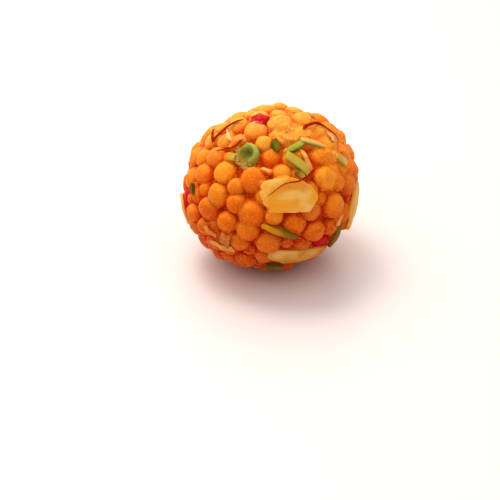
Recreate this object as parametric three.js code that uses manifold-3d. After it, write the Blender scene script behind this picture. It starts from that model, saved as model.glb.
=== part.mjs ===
// A motichoor ladoo: pearls of fried gram flour bound with sugar syrup and rolled by hand into a ball,
// set with almond flakes, pistachio slivers, red pearls and saffron strands.
// Millimetres, +Z up, the front faces -Y. The origin is on the plate, under the middle of the ball.

import * as THREE from "three";
import { mergeVertices } from "three/addons/utils/BufferGeometryUtils.js";
import Module from "manifold-3d";

// ---- Driving dimensions ----------------------------------------------------------------------

// The ball's envelope is an ellipsoid through the tops of its pearls, leaning up to the right,
// and it has settled on a small flat spot.
const HALF_LENGTH = 25.4;
const HALF_DEPTH = 24.7;
const HALF_HEIGHT = 22.8;
const LEAN_DEG = 18.75;
const FLAT_DEPTH = 1.2;

// The pearls, as radii from the largest to the smallest, and how many tries each size gets to find room.
const PEARL_SIZES = [3.4, 3.2, 3.0, 2.8, 2.55, 2.3, 2.05];
const PEARL_TRIES = [400, 800, 1200, 1200, 1200, 1500, 1500];
const PEARL_SPREAD = 0.1; // share of a radius that one pearl differs from its size
const PEARL_PACKING = 0.93; // two pearls are at least this share of their radii apart
const PEARL_PROUD = 0.3; // the proudest pearl's top over the envelope
const PEARL_SHY = 0.75; // the shyest pearl's top under the envelope
const BIG_PEARL = 3.1; // radius from which a pearl gets more sides and bands
const PEARL_SIDES = { big: [8, 5], small: [6, 4] };

// The bound crumb between the pearls, as depths under the envelope.
const CRUMB_DEPTH = 1.7;
const SMEARED_DEPTH = 0.9; // where the palm, or the plate, has crushed the pearls to a paste
const SMEAR_CORE = 0.4; // share of a smear's reach that is wholly crushed
const SMEARS = [
  { lon: 78, lat: 40, reach: 25 },
  { lon: 45, lat: 67, reach: 17 },
  { lon: -155, lat: 20, reach: 26 },
  { lon: 0, lat: -90, reach: 26 },
];

// Pearls that stand out, set by hand: longitude and latitude in degrees, and the diameter. The last is
// the one underneath, on whose flattened face the middle of the ball rests.
const SET_PEARLS = [
  [-13, 10.5, 7.1], [49, 7.5, 6.9], [39, 79, 6.7], [-41, 33.5, 5.8], [17, 2, 6.2], [54, 42.5, 6.4],
  [-14, 34, 6.2], [-38, 72.5, 6.6], [-61.5, 24.5, 5.4], [-1, -11, 5.9], [1, 51.5, 5.8], [-40, 17.5, 5.6],
  [32, -6, 5.3], [45, 28, 5.7], [-45.5, 5.5, 5.9], [-20, -32.5, 5.8], [11, 38, 5.3], [-88, 65.5, 5.4],
  [-15, -1.5, 5.5], [-60, 39.5, 5.1], [24.5, -18.5, 6.1], [-21, -12, 5.0], [-29.5, 1.5, 5.1],
  [81, 55, 4.8], [-24, 16, 4.8], [-62, 9, 4.6], [-61, -4, 4.4], [-84, 44, 4.3], [3, 10, 4.1],
  [-49, -9, 4.1], [45.5, -7.5, 4.4], [-9, 61, 4.0], [21, 63, 3.4], [0, -90, 6.6],
];

// Almond flakes: where each lies, which way it points, its size and the radius it is curved to.
// A break is a straight edge, given by the way it faces from the flake's middle and its distance.
// Where breaks meet, a corner may be named by its angle. A saffron strand lies across one flake.
const FLAKE_THICK = 0.9;
const FLAKE_WAVE = 0.16;
const FLAKE_BLUNT = 0.16; // an egg's shape: one end is wider and the other narrower by this share
const FLAKE_SIDES = 18;
const FLAKE_RINGS = [0.4, 0.75, 1];
const FLAKE_GAP = 0.3; // clear space between a flake and the ball
const BED_COVER = 3; // a flake's bed is cut this far out over it
const FLAKES = [
  {
    name: "almond_flake_front",
    at: [14.5, 23],
    heading: -3,
    size: [18.8, 16.8],
    bend: 36,
    lift: 0.25,
    breaks: [[98, 5.2], [67.5, 4.6], [33, 6.95], [-3, 7.75], [-37, 6.8], [-92, 4.35], [-166, 6.8]],
    corners: [153, -144, -42, 95, 17, -8],
    strand: [[-2, 24.2], [4, 28], [11, 30.9], [21, 32], [28, 34], [36.5, 36.6]],
  },
  {
    name: "almond_flake_low",
    at: [22.6, -25],
    heading: 172,
    size: [18.6, 5.8],
    bend: 28,
    lift: 0,
    breaks: [[-92, 2.2]],
    corners: [],
  },
  {
    name: "almond_flake_right",
    at: [75.5, -6],
    heading: 77,
    size: [14, 10.6],
    bend: 27,
    lift: 0.1,
    breaks: [[-60, 4.8]],
    corners: [],
  },
  {
    name: "almond_flake_left",
    at: [-85, -15],
    heading: 70,
    size: [11, 7.6],
    bend: 30,
    lift: -0.1,
    breaks: [[150, 4.2]],
    corners: [],
  },
  {
    name: "almond_flake_back",
    at: [168, 28],
    heading: 35,
    size: [16.5, 10],
    bend: 36,
    lift: 0.1,
    breaks: [[120, 3.9]],
    corners: [],
  },
  {
    name: "almond_flake_behind_left",
    at: [-128, 14],
    heading: 118,
    size: [13.5, 9],
    bend: 30,
    lift: 0,
    breaks: [[200, 5.2]],
    corners: [],
  },
];

// Pistachio slivers: place, heading, and length, width and thickness.
const SLIVER_PROUD = 0.4; // the outer face over the envelope
const SLIVERS = [
  { at: [6.5, -0.6], heading: -25, size: [10.7, 2.0, 1.7] },
  { at: [25, 43], heading: -51, size: [7.8, 2.6, 1.5] },
  { at: [28.5, 54.7], heading: 12, size: [6.3, 1.8, 1.6] },
  { at: [51.5, 52], heading: -43, size: [7.6, 1.5, 1.1] },
  { at: [66.4, 32.8], heading: -60, size: [4.4, 2.3, 1.1] },
  { at: [7.8, 58.6], heading: 105, size: [3.7, 2.1, 1.8] },
  { at: [-63, 13], heading: 125, size: [3.2, 1.4, 1.2] },
  { at: [51, -15.8], heading: 79, size: [8.6, 2.4, 1.2] },
  { at: [4, -37], heading: -8, size: [5.0, 2.4, 1.6] },
  { at: [-41, 44.5], heading: 15, size: [3.4, 2.4, 1.1] },
  { at: [23.6, 35.6], heading: -45, size: [3.2, 1.7, 1.2] },
];
// More of them, scattered over the far side: within a reach in degrees of its middle.
const BACK_SLIVERS = 9;
const BACK_SLIVER_SIZE = [7.6, 2.1, 1.5];
const BACK_SLIVER_APART = 9;
const BACK_LON = [95, 265];
const BACK_LAT = [-38, 54];
const BACK_MIDDLE = [180, -18];
const BACK_REACH = 55;

// Broken almond bits that lie among the pearls, as small slivers of the same form.
const ALMOND_BITS = [
  { at: [-30.3, -9], heading: 88, size: [6.4, 2.9, 0.9] },
  { at: [-33, -16.6], heading: -2, size: [7.6, 1.9, 0.9] },
  { at: [-40.3, -7], heading: -24, size: [4.6, 1.6, 0.9] },
  { at: [33, 44.2], heading: -76, size: [6.4, 1.3, 0.9] },
  { at: [49.2, -1.7], heading: 39, size: [3.4, 1.0, 0.9] },
  { at: [-2.7, 40.4], heading: -6, size: [2.4, 1.1, 0.8] },
  { at: [-64.5, 57], heading: -24, size: [5.6, 1.2, 1.0] },
  { at: [59.6, 38], heading: 62, size: [3.0, 1.0, 0.8] },
  { at: [-46.3, 56], heading: 69, size: [4.8, 1.8, 1.2] },
  { at: [75.5, 47.2], heading: 75, size: [3.4, 1.6, 0.8] },
];

// The halved pistachio, a shallow cup, and the red pearls. One red pearl has crumbled.
const CUP = { at: [-24.5, 50], across: 6.4, height: 3.0, hollow: 1.0, proud: 0.35 };
const RED_PEARLS = [
  [50, -22.5, 6.1],
  [40, -21.5, 4.2],
  [-79, -3, 4.4],
  [118, 26, 5.6],
  [-150, -12, 5.4],
  [168, 40, 5.2],
];
const RED_CRUMBLE = { at: [-48, 79.5], bits: 6, reach: 2.4, size: 1.6 };

// Saffron strands: the way each takes over the ball.
const STRAND_THICK = 0.62;
const STRAND_STEPS = 6;
const STRANDS = [
  [[-73.4, 45.3], [-76.4, 50], [-75.2, 56], [-77.6, 61.7], [-79.6, 67], [-76.9, 71.4]],
  [[-73.4, 45.3], [-78, 47.4], [-93.4, 48.7]],
  [[-57.6, 43.9], [-47.8, 48.8], [-39.8, 53.2], [-37.6, 55.8], [-37, 58.3]],
  [[54.2, 63.6], [64.5, 63.3], [75, 60.8], [81.8, 57.4], [81.4, 50], [82.9, 40.6]],
  [[152, 43], [170, 38], [186, 42]],
  [[-142, 30], [-152, 40], [-172, 44]],
  [[118, 2], [128, 12], [133, 24]],
];

// ---- Small helpers ---------------------------------------------------------------------------

const radians = THREE.MathUtils.degToRad;

// A repeatable number from 0 to 1, for item i and its k-th draw.
function draw(i, k) {
  const s = Math.sin(i * 12.9898 + k * 78.233) * 43758.5453;
  return s - Math.floor(s);
}

// Unit vector from the ball's middle: longitude 0 is the front, 90 the right; latitude is up.
function towards(lon, lat) {
  const across = Math.cos(radians(lat));
  return new THREE.Vector3(
    Math.sin(radians(lon)) * across,
    -Math.cos(radians(lon)) * across,
    Math.sin(radians(lat)),
  );
}

// Distance from the ball's middle to its envelope along a unit vector.
function envelope(d) {
  const c = Math.cos(radians(LEAN_DEG));
  const s = Math.sin(radians(LEAN_DEG));
  return 1 / Math.hypot(
    (c * d.x + s * d.z) / HALF_LENGTH,
    d.y / HALF_DEPTH,
    (c * d.z - s * d.x) / HALF_HEIGHT,
  );
}

// The middle stands above the plate by the leaning ellipsoid's half height, less the flat spot.
const MIDDLE_Z = Math.hypot(
  HALF_LENGTH * Math.sin(radians(LEAN_DEG)),
  HALF_HEIGHT * Math.cos(radians(LEAN_DEG)),
) - FLAT_DEPTH;

// How crushed the surface is along a unit vector: 1 in the middle of a smear, 0 outside it.
function smeared(d) {
  let most = 0;
  for (const { lon, lat, reach } of SMEARS) {
    const off = THREE.MathUtils.radToDeg(d.angleTo(towards(lon, lat))) / reach;
    most = Math.max(most, 1 - THREE.MathUtils.smoothstep(off, SMEAR_CORE, 1));
  }
  return most;
}

function crumb(d) {
  return envelope(d) - THREE.MathUtils.lerp(CRUMB_DEPTH, SMEARED_DEPTH, smeared(d));
}

// The frame in which a topping lies: its origin is on the envelope, moved out by lift,
// x runs along the heading (0 is east, 90 north), and z points out of the ball.
function placeOn([lon, lat], heading, lift) {
  const out = towards(lon, lat);
  const east = new THREE.Vector3(Math.cos(radians(lon)), Math.sin(radians(lon)), 0);
  const north = new THREE.Vector3().crossVectors(out, east);
  const turn = radians(heading);
  const along = east.clone().multiplyScalar(Math.cos(turn)).addScaledVector(north, Math.sin(turn));
  const aside = new THREE.Vector3().crossVectors(out, along);
  return new THREE.Matrix4()
    .makeBasis(along, aside, out)
    .setPosition(out.clone().multiplyScalar(envelope(out) + lift));
}

// ---- Where everything lies -------------------------------------------------------------------

// Distance along the angle t from a flake's middle to its edge: an egg, cut by its straight breaks.
function flakeReach({ size: [length, width], breaks }, t) {
  const blunt = (width / 2) * (1 + FLAKE_BLUNT * Math.cos(t));
  let reach = 1 / Math.hypot(Math.cos(t) / (length / 2), Math.sin(t) / blunt);
  for (const [facing, distance] of breaks) {
    const towardsBreak = Math.cos(t - radians(facing));
    if (towardsBreak > 0) reach = Math.min(reach, distance / towardsBreak);
  }
  return reach;
}

// Where the toppings lie, as footprints that push the pearls under them down: for a point in the
// topping's own frame, outside() is its distance beyond the edge, and under is the underside's depth.
function footprints(slivers) {
  const prints = FLAKES.map((flake) => ({
    inverse: placeOn(flake.at, flake.heading, 0).invert(),
    under: FLAKE_THICK - flake.lift,
    outside: (x, y) => Math.max(0, Math.hypot(x, y) - flakeReach(flake, Math.atan2(y, x))),
  }));
  for (const { at, heading, size: [length, width, thick] } of slivers) {
    const straight = (length - width) / 2;
    prints.push({
      inverse: placeOn(at, heading, 0).invert(),
      under: thick - SLIVER_PROUD,
      outside: (x, y) => Math.max(0, Math.hypot(Math.max(0, Math.abs(x) - straight), y) - width / 2),
    });
  }
  prints.push({
    inverse: placeOn(CUP.at, 0, 0).invert(),
    under: CUP.height * 0.6,
    outside: (x, y) => Math.max(0, Math.hypot(x, y) - CUP.across / 2),
  });
  return prints;
}

// How far the top of a pearl of this radius has to lie under the envelope, to fit under the toppings.
function pressedUnder(prints, d, radius) {
  let depth = -Infinity;
  const p = d.clone().multiplyScalar(envelope(d));
  for (const { inverse, under, outside } of prints) {
    const local = p.clone().applyMatrix4(inverse);
    const gap = outside(local.x, local.y);
    if (local.z < -radius * 2 || gap >= radius) continue;
    depth = Math.max(depth, under - (radius - Math.sqrt(radius * radius - gap * gap)));
  }
  return depth;
}

// The pearls: first those set by hand and the red ones, then ever smaller ones wherever a random
// direction still has room. A pearl's spot is where it would lie with its top on the envelope, and its
// centre is where it does lie, raised, or pressed down by a topping.
function layPearls(prints) {
  const pearls = [];
  const spotOf = (d, radius) => d.clone().multiplyScalar(envelope(d) - radius);
  const add = (d, radius, top, kind) => {
    const depth = Math.max(-top, pressedUnder(prints, d, radius));
    const centre = d.clone().multiplyScalar(envelope(d) - depth - radius);
    pearls.push({ spot: spotOf(d, radius), centre, radius, kind });
  };
  for (const [lon, lat, across] of SET_PEARLS) add(towards(lon, lat), across / 2, PEARL_PROUD, "plain");
  for (const [lon, lat, across] of RED_PEARLS) add(towards(lon, lat), across / 2, PEARL_PROUD, "red");

  let tried = 0;
  PEARL_SIZES.forEach((size, s) => {
    for (let n = 0; n < PEARL_TRIES[s]; n++) {
      tried += 1;
      const z = 2 * draw(tried, 1) - 1;
      const turn = 2 * Math.PI * draw(tried, 2);
      const across = Math.sqrt(1 - z * z);
      const d = new THREE.Vector3(across * Math.cos(turn), across * Math.sin(turn), z);
      const radius = size * (1 + PEARL_SPREAD * (draw(tried, 3) - 0.5));
      const top = THREE.MathUtils.lerp(-PEARL_SHY, PEARL_PROUD, draw(tried, 4));
      const spot = spotOf(d, radius);
      const fits = pearls.every((p) => p.spot.distanceTo(spot) >= PEARL_PACKING * (p.radius + radius));
      if (fits) add(d, radius, top, "plain");
    }
  });
  return pearls;
}

// Slivers for the far side, each at least a set distance from every other topping.
function scatterBackSlivers() {
  const taken = [...FLAKES, ...SLIVERS, CUP].map(({ at }) => towards(...at));
  const made = [];
  for (let i = 1; made.length < BACK_SLIVERS; i++) {
    const lon = THREE.MathUtils.lerp(...BACK_LON, draw(i, 11));
    const lat = THREE.MathUtils.lerp(...BACK_LAT, draw(i, 12));
    const at = [lon, lat];
    const d = towards(...at);
    if (d.angleTo(towards(...BACK_MIDDLE)) > radians(BACK_REACH)) continue;
    if (taken.some((t) => t.angleTo(d) * HALF_DEPTH < BACK_SLIVER_APART)) continue;
    taken.push(d);
    const [length, width, thick] = BACK_SLIVER_SIZE;
    const grown = length * THREE.MathUtils.lerp(0.75, 1.25, draw(i, 13));
    made.push({ at, heading: 180 * draw(i, 14), size: [grown, width, thick] });
  }
  return made;
}

// The outside of the heap along a unit vector: the crumb, or the pearl that reaches furthest.
function heapTop(pearls, d) {
  let top = crumb(d);
  for (const { centre, radius } of pearls) {
    const along = centre.dot(d);
    const off = centre.lengthSq() - along * along;
    if (along > 0 && off < radius * radius) top = Math.max(top, along + Math.sqrt(radius * radius - off));
  }
  return top;
}

// ---- Solids ----------------------------------------------------------------------------------

const wasm = await Module();
wasm.setup();

// A closed three.js geometry as a manifold-3d solid.
function solid(geometry, matrix = new THREE.Matrix4()) {
  const bare = (geometry.index ? geometry.toNonIndexed() : geometry.clone()).applyMatrix4(matrix);
  bare.deleteAttribute("normal");
  bare.deleteAttribute("uv");
  const merged = mergeVertices(bare, 1e-4);
  return new wasm.Manifold(new wasm.Mesh({
    numProp: 3,
    vertProperties: merged.attributes.position.array,
    triVerts: new Uint32Array(merged.index.array),
  }));
}

function geometryOf(manifold) {
  const { numProp, vertProperties, triVerts } = manifold.getMesh();
  const position = new THREE.BufferAttribute(new Float32Array(vertProperties), numProp);
  const geometry = new THREE.BufferGeometry().setAttribute("position", position);
  geometry.setIndex(new THREE.BufferAttribute(new Uint32Array(triVerts), 1));
  geometry.computeVertexNormals();
  return geometry;
}

// A closed geometry from rings of points, each the same length, with a point at either end. Seen from
// the last point, the rings run anticlockwise.
function ringsGeometry(first, rings, last) {
  const count = rings[0].length;
  const points = [first, ...rings.flat(), last];
  const index = [];
  const at = (ring, k) => 1 + ring * count + (k % count);
  for (let k = 0; k < count; k++) {
    index.push(0, at(0, k + 1), at(0, k));
    index.push(points.length - 1, at(rings.length - 1, k), at(rings.length - 1, k + 1));
    for (let ring = 0; ring + 1 < rings.length; ring++) {
      index.push(at(ring, k), at(ring, k + 1), at(ring + 1, k + 1));
      index.push(at(ring, k), at(ring + 1, k + 1), at(ring + 1, k));
    }
  }
  return new THREE.BufferGeometry().setFromPoints(points).setIndex(index);
}

// A pearl: a low sphere whose pole points out of the ball, with more sides on a larger one.
function pearlSolid({ centre, radius }) {
  const [sides, bands] = radius > BIG_PEARL ? PEARL_SIDES.big : PEARL_SIDES.small;
  const turn = new THREE.Quaternion().setFromUnitVectors(
    new THREE.Vector3(0, 1, 0),
    centre.clone().normalize(),
  );
  const grown = radius / Math.cos(Math.PI / (2 * sides)); // corners stand out as far as flats fall short
  const matrix = new THREE.Matrix4().compose(centre, turn, new THREE.Vector3(1, 1, 1));
  return solid(new THREE.SphereGeometry(grown, sides, bands), matrix);
}

// The bound crumb: a geodesic sphere pushed to the crumb's depth.
function crumbSolid() {
  const geometry = new THREE.IcosahedronGeometry(1, 2);
  const position = geometry.attributes.position;
  const d = new THREE.Vector3();
  for (let i = 0; i < position.count; i++) {
    d.fromBufferAttribute(position, i).normalize();
    d.multiplyScalar(crumb(d));
    position.setXYZ(i, d.x, d.y, d.z);
  }
  return solid(geometry);
}

// A sliver: four-cornered sections along x, full in the middle, narrowed at both ends and bent to the ball.
function sliverSolid({ at, heading, size: [length, width, thick] }) {
  const stations = [-1, -0.6, 0, 0.6, 1];
  const rings = stations.map((s) => {
    const full = Math.sqrt(1 - 0.75 * s * s * s * s);
    const x = (s * length) / 2;
    const z = -(x * x) / (2 * HALF_DEPTH);
    return [[1, 1], [-1, 1], [-1, -1], [1, -1]].map(
      ([v, w]) => new THREE.Vector3(x, (v * width * full) / 2, z + (w * thick * full) / 2),
    );
  });
  const middle = (ring) => ring[0].clone().add(ring[2]).divideScalar(2);
  const geometry = ringsGeometry(middle(rings[0]), rings, middle(rings.at(-1)));
  return solid(geometry, placeOn(at, heading, SLIVER_PROUD - thick / 2));
}

// The halved pistachio: a round cup with its hollow facing out.
function cupSolid() {
  const half = CUP.across / 2;
  const profile = [
    [0, -CUP.height],
    [half * 0.8, -CUP.height * 0.6],
    [half, -CUP.height * 0.1],
    [half * 0.8, CUP.height * 0.12],
    [half * 0.4, -CUP.hollow * 0.55],
    [0, -CUP.hollow],
  ].map(([x, y]) => new THREE.Vector2(x, y));
  const upright = new THREE.Matrix4().makeRotationX(Math.PI / 2);
  return solid(new THREE.LatheGeometry(profile, 12), placeOn(CUP.at, 0, CUP.proud).multiply(upright));
}

// The crumbled red pearl: small rough bits huddled round one place.
function crumbleSolids() {
  const { at, bits, reach, size } = RED_CRUMBLE;
  const frame = placeOn(at, 0, -size / 2);
  return Array.from({ length: bits }, (_, i) => {
    const turn = (2 * Math.PI * i) / bits;
    const off = i ? reach * THREE.MathUtils.lerp(0.6, 1, draw(i, 21)) : 0;
    const spot = new THREE.Matrix4().makeTranslation(off * Math.cos(turn), off * 0.6 * Math.sin(turn), 0);
    const radius = size * THREE.MathUtils.lerp(0.8, 1.2, draw(i, 22));
    return solid(new THREE.IcosahedronGeometry(radius, 0), frame.clone().multiply(spot));
  });
}

// A strand laid over the heap like a loose thread: it rests on what stands highest near it.
function strandSolid(way, topAlong) {
  const along = new THREE.CatmullRomCurve3(way.map(([lon, lat]) => towards(lon, lat)));
  const directions = along.getSpacedPoints(STRAND_STEPS - 1).map((p) => p.normalize());
  const tops = directions.map(topAlong);
  const rest = tops.map((top, i) => Math.max(...tops.slice(Math.max(0, i - 1), i + 2)));
  const points = directions.map((d, i) => d.clone().multiplyScalar(rest[i]));
  const curve = new THREE.CatmullRomCurve3(points);
  const half = STRAND_THICK / 2;
  const section = new THREE.Shape([
    new THREE.Vector2(-half, -half),
    new THREE.Vector2(half, -half),
    new THREE.Vector2(0, half),
  ]);
  const options = { steps: 2 * STRAND_STEPS, extrudePath: curve, bevelEnabled: false };
  return solid(new THREE.ExtrudeGeometry(section, options));
}

// The angles of a flake's outline points: evenly spaced, with the nearest one moved onto each corner.
function flakeAngles({ corners }) {
  const step = 360 / FLAKE_SIDES;
  const angles = Array.from({ length: FLAKE_SIDES }, (_, k) => k * step);
  for (const corner of corners) angles[Math.round((corner + 360) / step) % FLAKE_SIDES] = corner;
  return angles.map(radians);
}

// An almond flake: rings of points from the middle to the edge, on both faces alike.
// grow widens and thickens it, and cover carries its outer face further out, for cutting its bed.
function flakeSolid(flake, grow = 0, cover = 0) {
  const face = (x, y, out) => {
    const wave = FLAKE_WAVE * Math.sin(x * 0.9 + 1) * Math.cos(y * 0.8);
    const level = wave - (x * x + y * y) / (2 * flake.bend);
    return new THREE.Vector3(x, y, out ? level + grow + cover : level - FLAKE_THICK - grow);
  };
  const ring = (share, out) => flakeAngles(flake).map((t) => {
    const reach = share * (flakeReach(flake, t) + grow);
    return face(reach * Math.cos(t), reach * Math.sin(t), out);
  });
  const rings = [
    ...FLAKE_RINGS.map((share) => ring(share, false)),
    ...FLAKE_RINGS.toReversed().map((share) => ring(share, true)),
  ];
  const geometry = ringsGeometry(face(0, 0, false), rings, face(0, 0, true));
  return solid(geometry, placeOn(flake.at, flake.heading, flake.lift));
}

// ---- Put together ----------------------------------------------------------------------------

const slivers = [...SLIVERS, ...scatterBackSlivers(), ...ALMOND_BITS];
const pearls = layPearls(footprints(slivers));

// A flake with its strand, which follows the flake's outer face and stands clear of the ball beyond it.
function flakeWithStrand(flake) {
  const bare = flakeSolid(flake);
  if (!flake.strand) return bare;
  const inverse = placeOn(flake.at, flake.heading, flake.lift).invert();
  const overFlake = (d) => {
    const { x, y, z } = d.clone().multiplyScalar(envelope(d)).applyMatrix4(inverse);
    return envelope(d) - z - (x * x + y * y) / (2 * flake.bend);
  };
  return bare.add(strandSolid(flake.strand, overFlake));
}

// The part of a solid above the plate.
function aboveThePlate(manifold) {
  const side = 4 * HALF_LENGTH;
  const below = new THREE.Matrix4().makeTranslation(0, 0, -side / 2 - MIDDLE_Z);
  return manifold.subtract(solid(new THREE.BoxGeometry(side, side, side), below));
}

function ballSolid() {
  const pieces = [
    crumbSolid(),
    ...pearls.map(pearlSolid),
    ...slivers.map(sliverSolid),
    cupSolid(),
    ...crumbleSolids(),
    ...STRANDS.map((way) => strandSolid(way, (d) => heapTop(pearls, d))),
  ];
  const beds = FLAKES.map((flake) => flakeSolid(flake, FLAKE_GAP, BED_COVER));
  const heap = wasm.Manifold.union(pieces).subtract(wasm.Manifold.union(beds));
  const loose = aboveThePlate(heap).decompose();
  return loose.reduce((largest, body) => (body.volume() > largest.volume() ? body : largest));
}

const toffeeOrange = new THREE.MeshStandardMaterial({ color: 0xdc741a, roughness: 0.45, metalness: 0 });
const almondCream = new THREE.MeshStandardMaterial({ color: 0xeec07a, roughness: 0.5, metalness: 0 });

const ladoo = new THREE.Group();
const raised = new THREE.Group();
raised.position.z = MIDDLE_Z;
ladoo.add(raised);

function addMesh(name, manifold, material) {
  const mesh = new THREE.Mesh(geometryOf(manifold), material);
  mesh.name = name;
  raised.add(mesh);
}

addMesh("boondi_ball", ballSolid(), toffeeOrange);
for (const flake of FLAKES) addMesh(flake.name, flakeWithStrand(flake), almondCream);

export default ladoo;
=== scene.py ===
"""A motichoor ladoo: pearls of fried gram flour bound with sugar syrup and rolled by hand into a ball,
set with almond flakes, pistachio slivers, a halved pistachio, red pearls and saffron strands.

Shapes are worked out in millimetres about the middle of the ball, and put into the mesh in metres.
The front faces -Y, longitude 0 is the front and 90 the right, and latitude is up.
"""

import math

import bpy
import numpy as np
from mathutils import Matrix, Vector


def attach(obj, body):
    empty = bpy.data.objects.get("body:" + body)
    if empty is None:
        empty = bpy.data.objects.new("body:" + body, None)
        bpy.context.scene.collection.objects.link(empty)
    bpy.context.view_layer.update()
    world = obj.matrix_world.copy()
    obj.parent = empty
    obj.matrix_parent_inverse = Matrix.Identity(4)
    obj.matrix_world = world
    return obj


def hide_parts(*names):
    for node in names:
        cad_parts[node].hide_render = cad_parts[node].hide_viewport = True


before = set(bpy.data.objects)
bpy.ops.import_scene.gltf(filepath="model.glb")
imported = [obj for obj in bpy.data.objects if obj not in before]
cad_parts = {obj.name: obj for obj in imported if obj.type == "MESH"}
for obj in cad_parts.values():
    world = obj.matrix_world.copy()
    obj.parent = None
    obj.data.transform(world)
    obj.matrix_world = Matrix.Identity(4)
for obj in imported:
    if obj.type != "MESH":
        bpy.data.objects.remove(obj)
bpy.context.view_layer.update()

# ---- Driving values ---------------------------------------------------------------------------

MM = 0.001

# The ball's envelope, an ellipsoid that leans up to the right and stands on a small flat spot.
HALF_LENGTH = 25.4
HALF_DEPTH = 24.7
HALF_HEIGHT = 22.8
LEAN = math.radians(18.75)
FLAT_DEPTH = 1.2
MIDDLE_Z = math.hypot(HALF_LENGTH * math.sin(LEAN), HALF_HEIGHT * math.cos(LEAN)) - FLAT_DEPTH

# The pearls, as radii from the largest to the smallest, and how many tries each size gets to find room.
PEARL_SIZES = [3.4, 3.2, 3.0, 2.8, 2.55, 2.3, 2.05]
PEARL_TRIES = [400, 800, 1200, 1200, 1200, 1500, 1500]
PEARL_SPREAD = 0.1
PEARL_PACKING = 0.93
PEARL_PROUD = 0.3
PEARL_TOPS = (-0.75, PEARL_PROUD)  # how far a pearl's top stands out of the envelope, from and to

# The bound crumb between the pearls, as depths under the envelope, and the places crushed to a paste, each
# as longitude, latitude and reach in degrees.
CRUMB_DEPTH = 1.7
SMEARED_DEPTH = 0.9
SMEAR_CORE = 0.4
SMEARS = [(80, 38, 31), (45, 67, 19), (52, 27, 15), (-155, 20, 26), (0, -90, 26)]

# Pearls that stand out, given one by one: longitude, latitude and diameter.
SET_PEARLS = [
    (-13, 10.5, 7.1), (49, 7.5, 6.9), (39, 79, 6.7), (-41, 33.5, 5.8), (17, 2, 6.2), (54, 42.5, 6.4),
    (-14, 34, 6.2), (-38, 72.5, 6.6), (-61.5, 24.5, 5.4), (-1, -11, 5.9), (1, 51.5, 5.8),
    (-40, 17.5, 5.6), (32, -6, 5.3), (45, 28, 5.7), (-45.5, 5.5, 5.9), (-20, -32.5, 5.8),
    (11, 38, 5.3), (-88, 65.5, 5.4), (-15, -1.5, 5.5), (-60, 39.5, 5.1), (24.5, -18.5, 6.1),
    (-21, -12, 5.0), (-29.5, 1.5, 5.1), (81, 55, 4.8), (-24, 16, 4.8), (-62, 9, 4.6), (-61, -4, 4.4),
    (-84, 44, 4.3), (3, 10, 4.1), (-49, -9, 4.1), (45.5, -7.5, 4.4), (-9, 61, 4.0), (21, 63, 3.4),
    (0, -90, 6.6),
]
RED_PEARLS = [
    (50, -22, 6.4), (41.5, -20.8, 5.4), (-79, -3, 4.4), (118, 26, 5.6), (-150, -12, 5.4), (168, 40, 5.2),
]

# Almond flakes: node, place, heading, length and width, bend radius, lift, and straight breaks, each as
# the direction that it faces in degrees and its distance from the flake's middle.
FLAKE_THICK = 0.9
FLAKE_WAVE = 0.16
FLAKE_BLUNT = 0.16  # how much wider it is towards one end
FLAKES = {
    "almond_flake_front": dict(at=(14.5, 23), heading=-3, size=(18.8, 16.8), bend=36, lift=0.25,
                               breaks=[(98, 5.2), (67.5, 4.6), (33, 6.95), (-3, 7.75), (-37, 6.8),
                                       (-92, 4.35), (-166, 6.8)]),
    "almond_flake_low": dict(at=(22.6, -25), heading=172, size=(18.6, 5.8), bend=28, lift=0,
                             breaks=[(-92, 2.2)]),
    "almond_flake_right": dict(at=(75.5, -6), heading=77, size=(14, 10.6), bend=27, lift=0.1,
                               breaks=[(-60, 4.8)]),
    "almond_flake_left": dict(at=(-85, -15), heading=70, size=(11, 7.6), bend=30, lift=-0.1,
                              breaks=[(150, 4.2)]),
    "almond_flake_back": dict(at=(168, 28), heading=35, size=(16.5, 10), bend=36, lift=0.1,
                              breaks=[(120, 3.9)]),
    "almond_flake_behind_left": dict(at=(-128, 14), heading=118, size=(13.5, 9), bend=30, lift=0,
                                     breaks=[(200, 5.2)]),
}
# The way of the saffron strand that lies on the front flake.
FLAKE_STRAND = [(-2, 24.2), (4, 28), (11, 30.9), (21, 32), (28, 34), (36.5, 36.6)]

# Colours are linear.
DEEP_ORANGE = (0.76, 0.098, 0.001)
WARM_ORANGE = (0.87, 0.172, 0.002)
GOLD_ORANGE = (0.93, 0.335, 0.018)
# painted shade down in the crevices between pearls
CREVICE_SHADE_RED = (0.62, 0.030, 0.000)
CRUSHED_PEACH = (0.92, 0.350, 0.045)
# paler tops of the pimples: partly sugar, partly a painted glint
SUGAR_AND_GLINT_ORANGE = (0.98, 0.400, 0.060)
FROSTED_ORANGE = (0.78, 0.195, 0.026)
# painted light: the pale gold of the topmost pearls
PAINTED_TOP_LIGHT_GOLD = (0.97, 0.470, 0.080)
FRESH_GREEN = (0.38, 0.37, 0.045)
PALE_GREEN = (0.72, 0.44, 0.130)
YELLOW_GREEN = (0.54, 0.37, 0.045)
FROSTED_GREEN = (0.50, 0.42, 0.120)
DARK_GREEN = (0.13, 0.085, 0.002)
STUB_GREEN = (0.21, 0.15, 0.005)
OLIVE = (0.22, 0.11, 0.006)
SOAKED_PISTACHIO = (0.62, 0.33, 0.045)
CUP_LIGHT = (0.36, 0.38, 0.060)
CUP_DARK = (0.169, 0.1105, 0.0026)
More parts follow.
